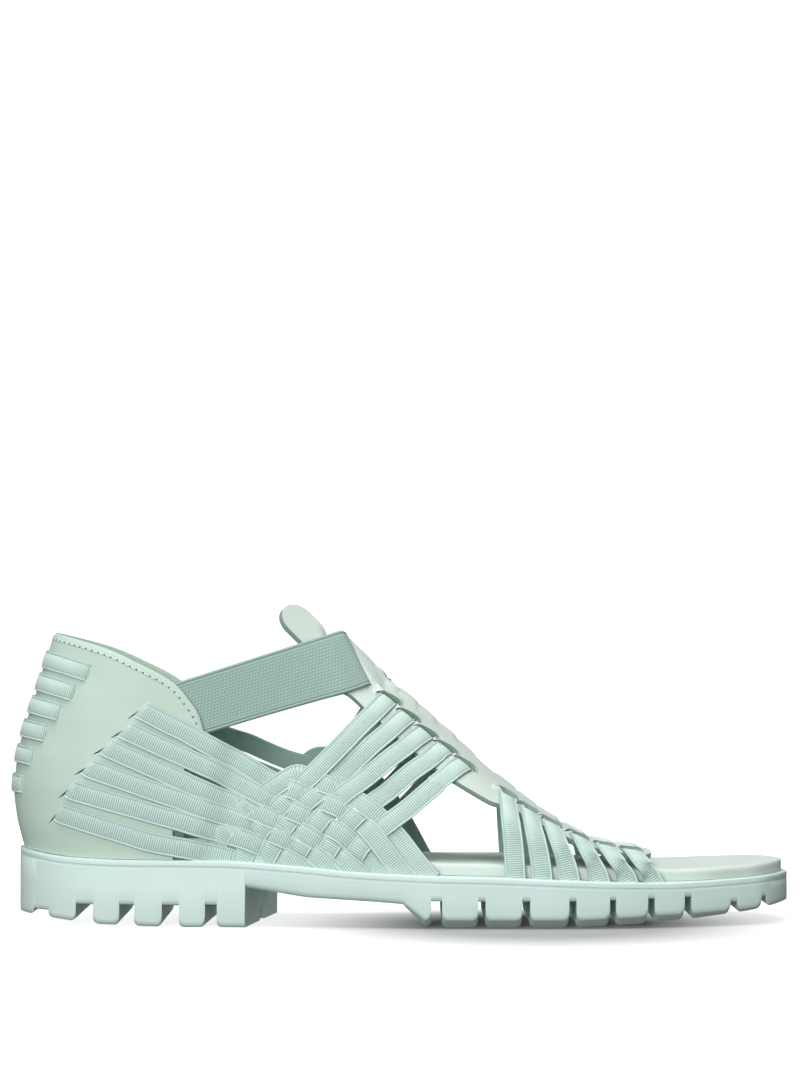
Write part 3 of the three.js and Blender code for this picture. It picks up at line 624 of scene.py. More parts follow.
def hole_shade_grid(places):
    whole = bmesh.new()
    for point, normal in places:
        made = bmesh.ops.create_icosphere(whole, subdivisions=1, radius=HOLE_SHADE_RADIUS / 1000)
        turn = normal.to_track_quat("Z", "Y").to_matrix()
        bmesh.ops.scale(whole, verts=made["verts"], vec=(1, 1, HOLE_SHADE_FLATNESS))
        bmesh.ops.rotate(whole, verts=made["verts"], matrix=turn)
        bmesh.ops.translate(whole, verts=made["verts"], vec=(point - SHOE_ORIGIN) / 1000)
    return whole


thread = leather("matching_thread", THREAD, LEATHER, 3000)
# Needle holes: flat dark discs sunk in the leather, painted shade for the shade inside each hole.
needle_hole_shade = Finish("needle_hole_shade", roughness=0.8, specular=0.1)
needle_hole_shade.shader.inputs["Base Color"].default_value = HOLE_SHADE
needle_hole_shade.bump(needle_hole_shade.speckle(3000), 0.00005)
collar_stitches = stitch_places()
add_piece("collar_stitching", thread_grid(collar_stitches), "leather", thread.material)
add_piece("collar_needle_hole_shade", hole_shade_grid(collar_stitches), "leather", needle_hole_shade.material)

# Elastic tapes
# Narrow woven elastic, about 7 mm wide: fine ribs across it between two beaded selvages.
# Six short lengths wrap the back of the counter, their ends drawn in through slits.
TAPE_WIDTH = 7.25
HEEL_TAPE_WIDTH = 6.5
RIB_PITCH = 0.8
# Columns: across, ridge and hollow heights, and the rib_shade of ridge rows (light) and of hollow rows.
# That rib_shade is painted shade: low in the rib hollows, in the grooves inside the selvages, along the
# outer edges and over the whole underside.
TAPE_SECTION = {
    "across": (-1, -0.96, -0.88, -0.8, -0.75, -0.66, 0, 0.66, 0.75, 0.8, 0.88, 0.96, 1, 0.9, -0.9),
    "ridge": (0.02, 0.28, 0.36, 0.3, 0.14, 0.4, 0.46, 0.4, 0.14, 0.3, 0.36, 0.28, 0.02, -0.45, -0.45),
    "hollow": (0.02, 0.26, 0.31, 0.25, 0.1, 0.18, 0.24, 0.18, 0.1, 0.25, 0.31, 0.26, 0.02, -0.45, -0.45),
    "light": (0, 0.3, 0.85, 0.72, 0.3, 1, 1, 1, 0.3, 0.72, 0.85, 0.3, 0, 0, 0),
    "hollow_row_shade": (0, 0.25, 0.7, 0.6, 0.2, 0, 0, 0, 0.2, 0.6, 0.7, 0.25, 0, 0, 0),
}
HEEL_TAPES = {
    "back_z": (93.2, 85.2, 77.1, 68.9, 60.1, 49.9),
    "slot_x": (27, 22, 17, 12, 7.5, 4),
    "slot_z": (88.7, 81.7, 74.7, 67.5, 59.3, 49.7),
}
TAPE = (0.66, 0.825, 0.775)
TAPE_PAINTED_SHADE = (0.27, 0.395, 0.355)
STRETCHED = 0.72
HEEL_STEPS = 40
HEEL_TUCK = 4
HEEL_SINK = 2.9
HEEL_SLIT_DEPTH = 3
SIDE_SLIT_DEPTH = 5
OVER_COUNTER = COUNTER_WALL + 0.62
RIB_SHADE = "rib_shade"


# Colour runs from the painted shade colour where rib_shade is 0 to the elastic's own colour where it is 1.
def elastic(name, light, hollow):
    made = Finish(name, roughness=0.85, specular=0.2, sheen=0.15)
    shade = made.node("ShaderNodeAttribute", attribute_name=RIB_SHADE)
    made.colour(made.blend(shade.outputs["Fac"], hollow, light, 0.0, 1.0))
    made.bump(made.speckle(4200, 2), 0.00005)
    return made


def even_rows(line, spacing):
    """Points and normals at equal steps along a line of (point, normal)."""
    runs = [0.0]
    for (before, _), (point, _) in zip(line, line[1:]):
        runs.append(runs[-1] + (point - before).length)
    count = max(round(runs[-1] / spacing), 2)
    rows = []
    for step in range(count + 1):
        run = runs[-1] * step / count
        i = min(max(bisect_right(runs, run) - 1, 0), len(line) - 2)
        share = (run - runs[i]) / max(runs[i + 1] - runs[i], 1e-9)
        rows.append((line[i][0].lerp(line[i + 1][0], share), line[i][1].lerp(line[i + 1][1], share)))
    return rows


def smooth_rows(rows, rounds):
    """The same rows with their kinks drawn out, the ends kept."""
    for _ in range(rounds):
        inner = [
            ((before[0] + row[0] * 2 + after[0]) / 4, (before[1] + row[1] * 2 + after[1]) / 4)
            for before, row, after in zip(rows, rows[1:], rows[2:])
        ]
        rows = [rows[0], *inner, rows[-1]]
    return rows


def full_ribs(run, total):
    return 1.0


def add_tape(whole, line, width, start_across=None, end_across=None, turn_in=9, ribs=full_ribs, soften=3):
    """One tape along a line of (point, normal): ribs as rows, selvages as columns."""
    rows = smooth_rows(even_rows(line, RIB_PITCH / 2), soften)
    last = len(rows) - 1
    frames = []
    for j, (point, normal) in enumerate(rows):
        along = (rows[min(j + 1, last)][0] - rows[max(j - 1, 0)][0]).normalized()
        across = along.cross(normal).normalized()
        up = across.cross(along).normalized()
        for slit, run in ((start_across, j), (end_across, last - j)):
            if slit is not None:
                share = 1 - ease(run * RIB_PITCH / 2 / turn_in)
                across = across + slit * share * (1 if slit.dot(across) > 0 else -1)
        across = across.normalized() / max(across.normalized().dot(along.cross(up).normalized()), 0.5)
        frames.append((point, across * width / 2, up))
    ring = len(TAPE_SECTION["across"])
    depth = [0 if j % 2 else ribs(j * RIB_PITCH / 2, last * RIB_PITCH / 2) for j in range(last + 1)]

    def place(i, j):
        point, across, up = frames[j]
        k = i % ring
        height = mix(TAPE_SECTION["ridge"][k], TAPE_SECTION["hollow"][k], depth[j])
        return point + across * TAPE_SECTION["across"][k] + up * height

    part = draped_grid(ring, last, place)
    # rib_shade paints the shade of each point; where the ribs fade out the face takes STRETCHED times its
    # ridge-row value.
    shade = part.verts.layers.float.new(RIB_SHADE)
    part.verts.ensure_lookup_table()
    for index, vert in enumerate(part.verts):
        i, j = index % (ring + 1) % ring, index // (ring + 1)
        full = TAPE_SECTION["hollow_row_shade" if j % 2 == 0 else "light"][i]
        ribbed = ribs(j * RIB_PITCH / 2, last * RIB_PITCH / 2)
        vert[shade] = mix(TAPE_SECTION["light"][i] * STRETCHED, full, ribbed)
    join_part(whole, close_up(part))


elastic_tape = elastic("ribbed_elastic_tape_painted_shade", TAPE, TAPE_PAINTED_SHADE)


def heel_frame(turn, height):
    def point_at(some_turn, some_height):
        x = inner_back(some_height) + turn_reach(some_turn)
        wall = last_point(x, wrap_at(x, some_height))
        return Vector((x, wall.y if some_turn < 0 else -wall.y, some_height))

    return point_at(turn, height), outward(point_at, turn, height, 0.01, 0.5, -1)


def heel_ribs(run, total):
    return 0.3 + 0.7 * ease((abs(run / total - 0.5) - 0.28) / 0.15)


counter_slits = bmesh.new()
for row, (back_z, slot_x, slot_z) in enumerate(zip(*HEEL_TAPES.values())):
    depth = slot_x - inner_back(slot_z) + COUNTER_WALL
    end = math.acos(1 - depth / HEEL_RADIUS) / (math.pi / 2)
    line = []
    reach = HEEL_STEPS + HEEL_TUCK
    for step in range(-reach, reach + 1):
        share = step / HEEL_STEPS
        point, normal = heel_frame(share * end, mix(back_z, slot_z, share ** 2))
        sink = HEEL_SINK * ease((abs(share) - 0.97) / 0.08)
        line.append((point + normal * (OVER_COUNTER - sink), normal))
    for inward in (1, -1):
        mouth = HEEL_TUCK if inward > 0 else len(line) - 1 - HEEL_TUCK
        centre, normal = line[mouth]
        across = (centre - line[mouth + 3 * inward][0]).normalized()
        along = across.cross(normal)
        size = (HEEL_SLIT_LENGTH, SLIT_WIDTH, HEEL_SLIT_DEPTH)
        add_slit(counter_slits, centre, along, across, normal, *size)
    whole = bmesh.new()
    add_tape(whole, line, HEEL_TAPE_WIDTH, ribs=heel_ribs)
    tape = add_piece(f"elastic_heel_tape_{row + 1}", whole, "elastic_tape", elastic_tape.material)
    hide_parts(f"heel_tape_{row + 1}")
for x, z, rise in zip(*SIDE_SLITS.values()):
    for side in (-1, 1):
        centre, normal, along = side_frame(x, z, rise, side)
        across = along.cross(normal)
        low = centre - along * SLIT_OVERRUN
        add_slit(counter_slits, low, along, across, normal, SLIT_LENGTH, SLIT_WIDTH, SIDE_SLIT_DEPTH)
cut_slots(counter, counter_slits, raw_edge_and_slit_shade_finish.material)

# Instep spine
# A strip of thick pale leather along the top of the foot, its edges left raw, ending in a flat
# round pull tab. Slots punched along both margins take the tapes, and two long ones the band.
SPINE_UNDER = 0.85
SPINE_TOP = 2.8
SPINE_END = 227
SPINE_END_ROUND = 7
SPINE = {
    "x": (97, 113, 118.5, 125.4, 140, 156, 168, 178, 190, 205, 221, 227),
    "half": (0.2, 0.2, 0.2, 0.24, 0.31, 0.35, 0.34, 0.26, 0.25, 0.22, 0.2, 0.2),
}
SPINE_SLOTS = {
    "x": (132.4, 139.1, 145.5, 152.5, 159, 174, 181.6, 189.4, 199.4, 209.4, 219),
    "wrap": (0.09, 0.115, 0.14, 0.147, 0.166, 0.145, 0.142, 0.13, 0.11, 0.1, 0.1),
}
SLOT_LENGTH = 11
SLOT_SKEW = 0.005
FLAP_LIFT = {-1: 2.1, 1: 1.1}
FLAP_REACH = 4.5
SLOT_SPREAD = 0.3
SLOT_BOW = 1.7
SLOT_OPEN = 0.6
SLOT_LEVEL = 2
SLOT_DEPTH = 6
SPINE_EDGE = 0.35
TAB_END = 97
TAB_TOP = 112.6
TAB_SLOPE = 0.99
TAB_MIDDLE = 2
TAB_HALF = 8
TAB_ROUND = 5
TAB_LOOSE = (106, 9)
TAB_ACROSS = Vector((7, 13, 5.8)).normalized()
TAB_NORMAL = Vector((1, 0, -TAB_SLOPE)).cross(TAB_ACROSS).normalized()
BRIDGE = {
    "x": (111, 113.5, 117.4, 120.3, 127, 131),
    "lift": (0, 2.2, 6, 4.9, 2.5, 0),
}
BAND_SLIT = {"x": (117, 126.5), "outer": (-0.005, -0.08), "inner": (0.13, 0.16)}
BAND_SLIT_EDGE = 0.012
BAND_SLIT_LIFT = (5, 3.4)
BAND_SLIT_WIDTH = 1.4
BAND_SLIT_DEPTH = 7
spine_half = column(SPINE, "x", "half")
spine_slot = column(SPINE_SLOTS, "x", "wrap")
bridge_height = column(BRIDGE, "x", "lift")
outer_slit = column(BAND_SLIT, "x", "outer")
inner_slit = column(BAND_SLIT, "x", "inner")


def slot_frame(slot_x, side):
    """Slot on the spine: centre, normal, way out to the margin, own direction, lift of its flap."""
    wrap = spine_slot(slot_x)
    point, normal = last_point(slot_x, side * wrap), last_normal(slot_x, side * wrap)
    ahead = last_point(slot_x + 2, side * (wrap - 2 * SLOT_SKEW))
    behind = last_point(slot_x - 2, side * (wrap + 2 * SLOT_SKEW))
    along = ahead - behind
    along = (along - normal * along.dot(normal)).normalized()
    leaving = along.cross(normal)
    return point, normal, leaving if side < 0 else -leaving, along, FLAP_LIFT[side]


spine_frames = [slot_frame(x, side) for x in SPINE_SLOTS["x"] for side in (-1, 1)]


def flap_lift(point):
    """How far the leather above a slot is raised by the tape that comes out under it."""
    lift = 0.0
    for centre, normal, leaving, along, flap in spine_frames:
        offset = point - centre
        share = offset.dot(along) / (SLOT_LENGTH / 2)
        above = -offset.dot(leaving)
        if abs(share) < 1 and -SLOT_SPREAD * (1 - share * share) < above < FLAP_REACH:
            lift = max(lift, flap * (1 - share ** 4) * (1 - ease(above / FLAP_REACH)))
    return lift


def bridge_lift(x, wrap):
    """How far the band raises the leather between its two slits."""
    outer = ease((wrap - outer_slit(x) + BAND_SLIT_EDGE) / (2 * BAND_SLIT_EDGE))
    inner = ease((inner_slit(x) + BAND_SLIT_EDGE - wrap) / (2 * BAND_SLIT_EDGE))
    return bridge_height(x) * outer * inner


def spine_face(x, share, lift):
    """Point of the strip: laid on the last along the foot, standing free and flat at the tab."""
    wrap = share * spine_half(x) * end_round(SPINE_END + 0.1 - x, SPINE_END_ROUND)
    laid = last_point(x, wrap)
    laid = laid + last_normal(x, wrap) * (lift + flap_lift(laid))
    laid.z += bridge_lift(x, wrap)
    half = TAB_HALF * end_round(x - TAB_END, TAB_ROUND)
    standing = Vector((x, TAB_MIDDLE, TAB_TOP - TAB_SLOPE * (x - TAB_END)))
    standing += TAB_ACROSS * half * share + TAB_NORMAL * (lift - SPINE_TOP)
    start, run = TAB_LOOSE
    return standing.lerp(laid, ease((x - start) / run))


def spine_grid():
    turns = [i / 12 * math.pi / 2 for i in range(13)]
    tab = [TAB_END + TAB_ROUND * (1 - math.cos(turn)) for turn in turns]
    front = [SPINE_END - SPINE_END_ROUND * (1 - math.cos(turn)) for turn in reversed(turns)]
    stations = tab + [103 + i / 2 for i in range(2 * round(SPINE_END - SPINE_END_ROUND - 103))] + front
    columns = 64
    ring = [(2 * i / columns - 1, SPINE_TOP) for i in range(columns + 1)]
    ring += [(1.01, SPINE_TOP - SPINE_EDGE), (1.01, SPINE_UNDER + SPINE_EDGE)]
    ring += [(1 - 2 * i / columns, SPINE_UNDER) for i in range(columns + 1)]
    ring += [(-1.01, SPINE_UNDER + SPINE_EDGE), (-1.01, SPINE_TOP - SPINE_EDGE)]
    first_edge, second_edge = columns + 1, 2 * columns + 3

    def place(i, j):
        share, lift = ring[i % len(ring)]
        return spine_face(stations[j], share, lift)

    mesh = draped_grid(len(ring), len(stations) - 1, place)
    for face in mesh.faces:
        i = face.index % len(ring)
        raw = first_edge <= i <= first_edge + 1 or i >= second_edge
        face.material_index = 1 if raw else 0
    return mesh


spine_materials = (pale_leather.material, raw_edge_and_slit_shade_finish.material)
spine = add_piece("leather_spine", close_up(spine_grid()), "pale_leather", *spine_materials)
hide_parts("vamp_spine")
spine_cutters = bmesh.new()
for centre, normal, leaving, along, _ in spine_frames:
    middle = centre + normal * SLOT_LEVEL
    width = 2 * SLOT_SPREAD + SLOT_OPEN
    size = (SLOT_LENGTH, width, SLOT_DEPTH, SLOT_BOW - width / 2)
    add_slit(spine_cutters, middle, along, -leaving, normal, *size)
for slit in (outer_slit, inner_slit):
    top, low = (
        last_point(x, slit(x)) + last_normal(x, slit(x)) * lift
        for x, lift in zip(BAND_SLIT["x"], BAND_SLIT_LIFT)
    )
    along = (low - top).normalized()
    centre_x = sum(BAND_SLIT["x"]) / 2
    normal = last_normal(centre_x, slit(centre_x))
    normal = (normal - along * normal.dot(along)).normalized()
    across = along.cross(normal)
    size = ((low - top).length + 1, BAND_SLIT_WIDTH, BAND_SLIT_DEPTH)
    add_slit(spine_cutters, (top + low) / 2, along, across, normal, *size)
cut_slots(spine, spine_cutters, raw_edge_and_slit_shade_finish.material)

# Woven tapes
# On each side six tapes run forward and down from the slits in the counter and five run back and
# down from the spine, plaited over and under each other. One more turns over in a loop at its top.
TOP_LIFT = SPINE_TOP + 0.6
SLOT_DIVE = {"back": (5.2, 3.4, 1.8, 0.6), "lift": (-0.2, -0.2, 0.1, 1.7)}
SMOOTH_RUN = 11
SMOOTH_FADE = 10
WEAVE_LIFT = 0.6
FRONT_FOOT_Z = 24
CLEAR_OF_COUNTER = 1.5
SETTLED_AHEAD = 17
SETTLED_LIFT = 0.2
MOUTH = {"back": (1, 0.6), "lift": (-0.8, 1.7)}
STRAIGHT_SHARES = (0, 0.25, 0.5, 0.75)
WRAP_SCALE = 60
ROUTE_STEPS = 48
FOOT_SINK = 1.5
FORWARD = {
    "top_x": (102, 48.6, 43.1, 37.1, 30.6, 24.6, 20.6),
    "top_z": (57, 75.3, 68.3, 62.3, 55.3, 47.8, 39.8),
    "mid_x": (118, 85.5, 77, 71.5, 64.5, 64.5, 50),
    "mid_z": (47.5, 56, 53, 47, 43.5, 36.5, 30.5),
    "low_x": (133.5, 122, 117, 106, 103.5, 92, 72),
    "low_z": (36.5, 39, 33.5, 32.5, 29, 28, 26.3),
    "foot_x": (149, 141, 133.5, 126, 117, 107, 90),
}
BACKWARD = {
    "slot_x": (102, 132.4, 139.1, 145.5, 152.5, 159),
    "mid_x": (92, 118.5, 114, 118, 127.5, 133.5),
    "mid_z": (48, 64, 51, 46.5, 43.5, 36.5),
    "low_x": (80.5, 102, 102, 110, 117, 124),
    "low_z": (39.5, 48.5, 41, 38, 33.5, 28.5),
    "foot_x": (70.5, 82, 90, 99, 108.5, 119),
}
INNER_DROP = 3.4
LOOPS = {"side": (-1, 1), "x": (102, 107.5), "z": (54.5, 58.5)}


def curve_through(points, steps):
    """Smooth line through flat points, at equal steps."""
    ends = [points[0] * 2 - points[1], *points, points[-1] * 2 - points[-2]]
    fine = []
    for p0, p1, p2, p3 in zip(ends, ends[1:], ends[2:], ends[3:]):
        d1, d2, d3 = ((b - a).length ** 0.5 for a, b in ((p0, p1), (p1, p2), (p2, p3)))
        m1 = ((p1 - p0) / d1 - (p2 - p0) / (d1 + d2) + (p2 - p1) / d2) * d2
        m2 = ((p2 - p1) / d2 - (p3 - p1) / (d2 + d3) + (p3 - p2) / d3) * d2
        for step in range(40):
            t = step / 40
            bend = p1 + (m1 + ((p2 - p1) * 3 - m1 * 2 - m2 + (m1 + m2 + (p1 - p2) * 2) * t) * t) * t
            fine.append(bend)
    fine.append(points[-1])
    rows = even_rows([(point, point) for point in fine], 0.4)
    run = len(rows) - 1
    return [rows[round(run * step / steps)][0] for step in range(steps + 1)]


def flat(x, z, side=-1):
    return Vector((x, wrap_at(x, z, side) * WRAP_SCALE))


def foot(x, side=-1):
    return flat(x, seat_height(x) - FOOT_SINK, side)


def straight(start, end, shares, side=-1):
    """Flat points along a line that looks straight from the side of the shoe."""
    return [flat(mix(start.x, end.x, share), mix(start.z, end.z, share), side) for share in shares]


def forward_route(row, side):
    """Route from the counter or the loop down to the sole; the inner side mirrors the outer wrap."""
    top_x, top_z, mid_x, mid_z, low_x, low_z, foot_x = row
    top, mid = Vector((top_x, 0, top_z)), Vector((mid_x, 0, mid_z))
    points = straight(top, mid, STRAIGHT_SHARES)
    points += [flat(mid_x, mid_z), flat(low_x, low_z), foot(foot_x)]
    points = [Vector((spot.x, -side * spot.y)) for spot in points]
    if row[0] == FORWARD["top_x"][0]:
        points[:len(STRAIGHT_SHARES)] = [loop_top(side)]
    return curve_through(points, ROUTE_STEPS)


def backward_route(row, side):
    """Route from the spine or the loop down to the sole, straight at first."""
    slot_x, mid_x, mid_z, low_x, low_z, foot_x = row
    if side > 0:
        mid_z -= INNER_DROP
        low_z -= INNER_DROP / 2
    slot, mid = last_point(slot_x, side * spine_slot(slot_x)), Vector((mid_x, 0, mid_z))
    looped = slot_x == BACKWARD["slot_x"][0]
    top = [loop_top(side)] if looped else straight(slot, mid, STRAIGHT_SHARES, side)
    points = [*top, flat(mid_x, mid_z, side), flat(low_x, low_z, side), foot(foot_x, side)]
    return curve_through(points, ROUTE_STEPS)


def loop_top(side):
    i = LOOPS["side"].index(side)
    return flat(LOOPS["x"][i], LOOPS["z"][i], side)


def crossing(first, second):
    """Steps along two routes at which they cross, or None."""
    for i in range(ROUTE_STEPS):
        for j in range(ROUTE_STEPS):
            a, b = first[i + 1] - first[i], second[j + 1] - second[j]
            gap = second[j] - first[i]
            area = a.x * b.y - a.y * b.x
            if abs(area) < 1e-9:
                continue
            s = (gap.x * b.y - gap.y * b.x) / area
            t = (gap.x * a.y - gap.y * a.x) / area
            if 0 <= s < 1 and 0 <= t < 1:
                return i + s, j + t
    return None


def plait(forwards, backwards):
    """Over and under marks along every route of one side, from where the routes cross."""
    over_forward = [[] for _ in forwards]
    over_backward = [[] for _ in backwards]
    for i, forward in enumerate(forwards):
        for j, backward in enumerate(backwards):
            met = crossing(forward, backward)
            if met is not None:
                over = WEAVE_LIFT if (i + j) % 2 == 0 else -WEAVE_LIFT
                over_forward[i].append((met[0], over))
                over_backward[j].append((met[1], -over))
    return over_forward, over_backward


def lift_at(marks, step):
    """Lift between marks: level near each crossing and turned between them."""
    steps = [mark[0] for mark in marks]
    i = min(max(bisect_right(steps, step) - 1, 0), len(marks) - 2)
    share = (step - steps[i]) / max(steps[i + 1] - steps[i], 1e-6)
    return mix(marks[i][1], marks[i + 1][1], ease((clamp(share) - 0.2) / 0.6))


def on_last(x, wrap, lift):
    normal = last_normal(x, wrap)
    return last_point(x, wrap) + normal * lift, normal


def side_line(route, marks):
    """Points and normals of one side of a tape, from its top to its foot."""
    line = []
    for step in range(4 * ROUTE_STEPS + 1):
        at = step / 4
        i = min(int(at), ROUTE_STEPS - 1)
        spot = route[i].lerp(route[i + 1], at - i)
        line.append(on_last(spot.x, spot.y / WRAP_SCALE, lift_at(marks, at)))
    return line


def step_at_x(route, x):
    return next((step for step, spot in enumerate(route) if spot.x >= x), 0)


def slot_points(slot_x, side, heading):
    """From under the middle of the spine up through its slot, in line with the tape's own heading."""
    rows = []
    for back, lift in zip(*SLOT_DIVE.values()):
        spot = Vector((slot_x, side * spine_slot(slot_x) * WRAP_SCALE)) - heading * back
        rows.append(on_last(spot.x, spot.y / WRAP_SCALE, lift))
    return rows


def clear_step(route):
    """Step at which a tape from the spine leaves the edge of its margin."""
    past = (step for step, spot in enumerate(route) if abs(spot.y) / WRAP_SCALE > spine_half(spot.x) + 0.02)
    return next(past)


def slot_ribs(run, total):
    return ease((run - SMOOTH_RUN) / SMOOTH_FADE)


woven = bmesh.new()
for side in (-1, 1):
    forwards = [forward_route(row, side) for row in zip(*FORWARD.values())]
    backwards = [backward_route(row, side) for row in zip(*BACKWARD.values())]
    forward_marks, backward_marks = plait(forwards, backwards)
    loop_half = []
    for i, route in enumerate(forwards):
        marks = sorted(forward_marks[i])
        if i == 0:
            loop_half = side_line(route, [(0, 0), *marks, (ROUTE_STEPS, 0)])
            continue
        mid_z = FORWARD["mid_z"][i]
        up_front = clamp((mid_z - FRONT_FOOT_Z) / (COLLAR["z"][-1] - FRONT_FOOT_Z))
        front_x = mix(COUNTER_FOOT_X, COUNTER_FRONT_X, up_front)
        clear = step_at_x(route, front_x + CLEAR_OF_COUNTER)
        settled = step_at_x(route, front_x + SETTLED_AHEAD)
        starts = [(0, OVER_COUNTER), (clear, OVER_COUNTER), (settled, SETTLED_LIFT)]
        later = [mark for mark in marks if mark[0] > settled + 1]
        line = side_line(route, [*starts, *later, (ROUTE_STEPS, 0)])
        centre, normal, along = side_frame(*(SIDE_SLITS[k][i - 1] for k in ("x", "z", "rise")), side)
        ahead = (line[4][0] - line[0][0]).normalized()
        steps = zip(*MOUTH.values())
        mouth = [(centre - ahead * back + normal * lift, normal) for back, lift in steps]
        add_tape(woven, mouth + line, TAPE_WIDTH, start_across=along)
    for j, route in enumerate(backwards):
        marks = sorted(backward_marks[j])
        if j == 0:
            line = side_line(route, [(0, 0), *marks, (ROUTE_STEPS, 0)])
            loop = smooth_rows(even_rows([*reversed(line), *loop_half[1:]], 0.8), 12)
            add_tape(woven, loop, TAPE_WIDTH)
            continue
        clear = clear_step(route)
        later = [mark for mark in marks if mark[0] > clear + 2]
        line = side_line(route, [(0, TOP_LIFT), (clear, TOP_LIFT), *later, (ROUTE_STEPS, 0)])
        heading = (route[2] - route[0]).normalized()
        dive = slot_points(BACKWARD["slot_x"][j], side, heading)
        across = slot_frame(BACKWARD["slot_x"][j], side)[3]
        add_tape(woven, dive + line, TAPE_WIDTH, start_across=across, turn_in=13, ribs=slot_ribs)
weave = add_piece("woven_elastic_tapes", woven, "elastic_tape", elastic_tape.material)
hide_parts("woven_upper")

# Toe straps
# Six lengths of the same elastic over the toes, up from the sole on each side, out over the
# spine's margin and in through its slots, spread like a fan.
TOE_STRAPS = {
    "slot_x": (174, 181.6, 189.4, 199.4, 209.4, 219),
    "foot_x": (178, 187.4, 197, 207.6, 217.6, 226.6),
}
TOE_STEPS = 40
TOE_BOW = 1.4
TOE_SMOOTH = {"share": 0.24, "fade": 9}
TOE_DROP = {"from": 0.3, "over": 0.4}
TOE_SOFTEN = 45


def toe_ribs(run, total):
    return ease((abs(run - total / 2) - TOE_SMOOTH["share"] * total) / TOE_SMOOTH["fade"])


def toe_side(slot_x, foot_x, side):
    """Points and normals of one half of a strap: upright at the sole, leaning back to its slot."""
    top, normal = on_last(slot_x, side * spine_slot(slot_x), TOP_LIFT)
    low_z = seat_height(foot_x) - FOOT_SINK
    rows = []
    for step in range(TOE_STEPS + 1):
        share = step / TOE_STEPS
        lift = TOP_LIFT * (1 - ease((share - TOE_DROP["from"]) / TOE_DROP["over"]))
        x = mix(top.x, foot_x, 1 - (1 - share) ** TOE_BOW) - normal.x * lift
        z = mix(top.z, low_z, share) - normal.z * lift
        point, normal = on_last(x, wrap_at(x, z, side), lift)
        rows.append((point, normal))
    return rows


for row, (slot_x, foot_x) in enumerate(zip(*TOE_STRAPS.values())):
    halves = []
    for side in (-1, 1):
        down = toe_side(slot_x, foot_x, side)
        heading = Vector((foot_x - slot_x, side * WRAP_SCALE)).normalized()
        halves.append(slot_points(slot_x, side, heading) + down)
    whole = bmesh.new()
    add_tape(whole, [*reversed(halves[0]), *halves[1]], TAPE_WIDTH, ribs=toe_ribs, soften=TOE_SOFTEN)
    strap = add_piece(f"elastic_toe_strap_{row + 1}", whole, "elastic_tape", elastic_tape.material)
    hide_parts(f"toe_strap_{row + 1}")

# Instep band
# A wide knitted elastic from inside the counter on each side, over the spine's margin and in under
# its bridge. Rows of small stitches run along it, and it thins out smooth where it is drawn in.
BAND_HALF_THICKNESS = 0.6
BAND_UPPER = {
    "x": (50, 60, 80, 100, 106, 112, 116.8, 118),
    "z": (82.6, 85.9, 92.3, 98.7, 100.6, 102.5, 103.9, 103.2),
    "outer": (-20.6, -19.4, -13.8, -7.6, -5.4, -2.8, -0.1, 3),
    "inner": (20.4, 19.2, 15.8, 12.8, 11.8, 10.6, 7.6, 5.4),
}
BAND_LOWER = {
    "x": (60, 70, 90, 110, 119, 123.4, 126.8, 127.8),
    "z": (64.8, 67.9, 73.9, 79.6, 82, 83.4, 84.6, 84),
    "outer": (-22.6, -21.7, -17, -12.8, -11.4, -8.6, -6, -3),
    "inner": (22, 21, 17.8, 14.8, 13.8, 12.8, 11.4, 9.4),
}
KNIT_COLUMNS = 38
KNIT_ROW = 0.42
KNIT_SMOOTH = 13
BAND_LENGTH = 76
EDGE_CORDS = (-0.3, 0.12, -0.14, 0.1)
BAND = (0.42, 0.57, 0.52)
BAND_PAINTED_SHADE = (0.17, 0.28, 0.245)


def band_edge(table, name, steps):
    points = [Vector(spot) for spot in zip(table["x"], table[name], table["z"])]
    return curve_through(points, steps)


def add_band(name, side):
    steps = round(BAND_LENGTH / KNIT_ROW)
    upper, lower = band_edge(BAND_UPPER, name, steps), band_edge(BAND_LOWER, name, steps)
    ring = 2 * (KNIT_COLUMNS + 1)

    def stitch(i, j):
        """Height of one stitch in the knit: two cords at each edge and staggered courses between."""
        near = min(i, KNIT_COLUMNS - i)
        if near < len(EDGE_CORDS):
            return EDGE_CORDS[near]
        course = 0.02 if i % 2 else -0.06
        bead = 0.16 if i % 2 and (j + i // 2 % 2 * 2) % 3 == 0 else 0
        fade = ease((steps - j) * KNIT_ROW / KNIT_SMOOTH)
        return (course + bead) * mix(0.3, 1, fade)

    def place(i, j):
        step = i % ring
        over = step <= KNIT_COLUMNS
        k = step if over else ring - 1 - step
        ahead, behind = min(j + 1, steps), max(j - 1, 0)
        along = upper[ahead] + lower[ahead] - upper[behind] - lower[behind]
        up = along.cross(upper[j] - lower[j]).normalized() * -side
        height = BAND_HALF_THICKNESS + stitch(k, j) if over else -BAND_HALF_THICKNESS
        return lower[j].lerp(upper[j], k / KNIT_COLUMNS) + up * height

    part = draped_grid(ring, steps, place)
    # rib_shade follows each point's stitch height: painted shade on the low courses and the edge cords,
    # painted highlight on the raised stitches.
    shade = part.verts.layers.float.new(RIB_SHADE)
    part.verts.ensure_lookup_table()
    for index, vert in enumerate(part.verts):
        i, j = index % (ring + 1) % ring, index // (ring + 1)
        height = stitch(i, j) if i <= KNIT_COLUMNS else 0
        vert[shade] = clamp(0.45 + 3.4 * height)
    return close_up(part)


knit = elastic("knitted_elastic_painted_shade", BAND, BAND_PAINTED_SHADE)
for side, name in ((-1, "outer"), (1, "inner")):
    band = add_piece(f"knitted_band_{name}", add_band(name, side), "elastic_band", knit.material)
    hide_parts(f"instep_band_{name}")

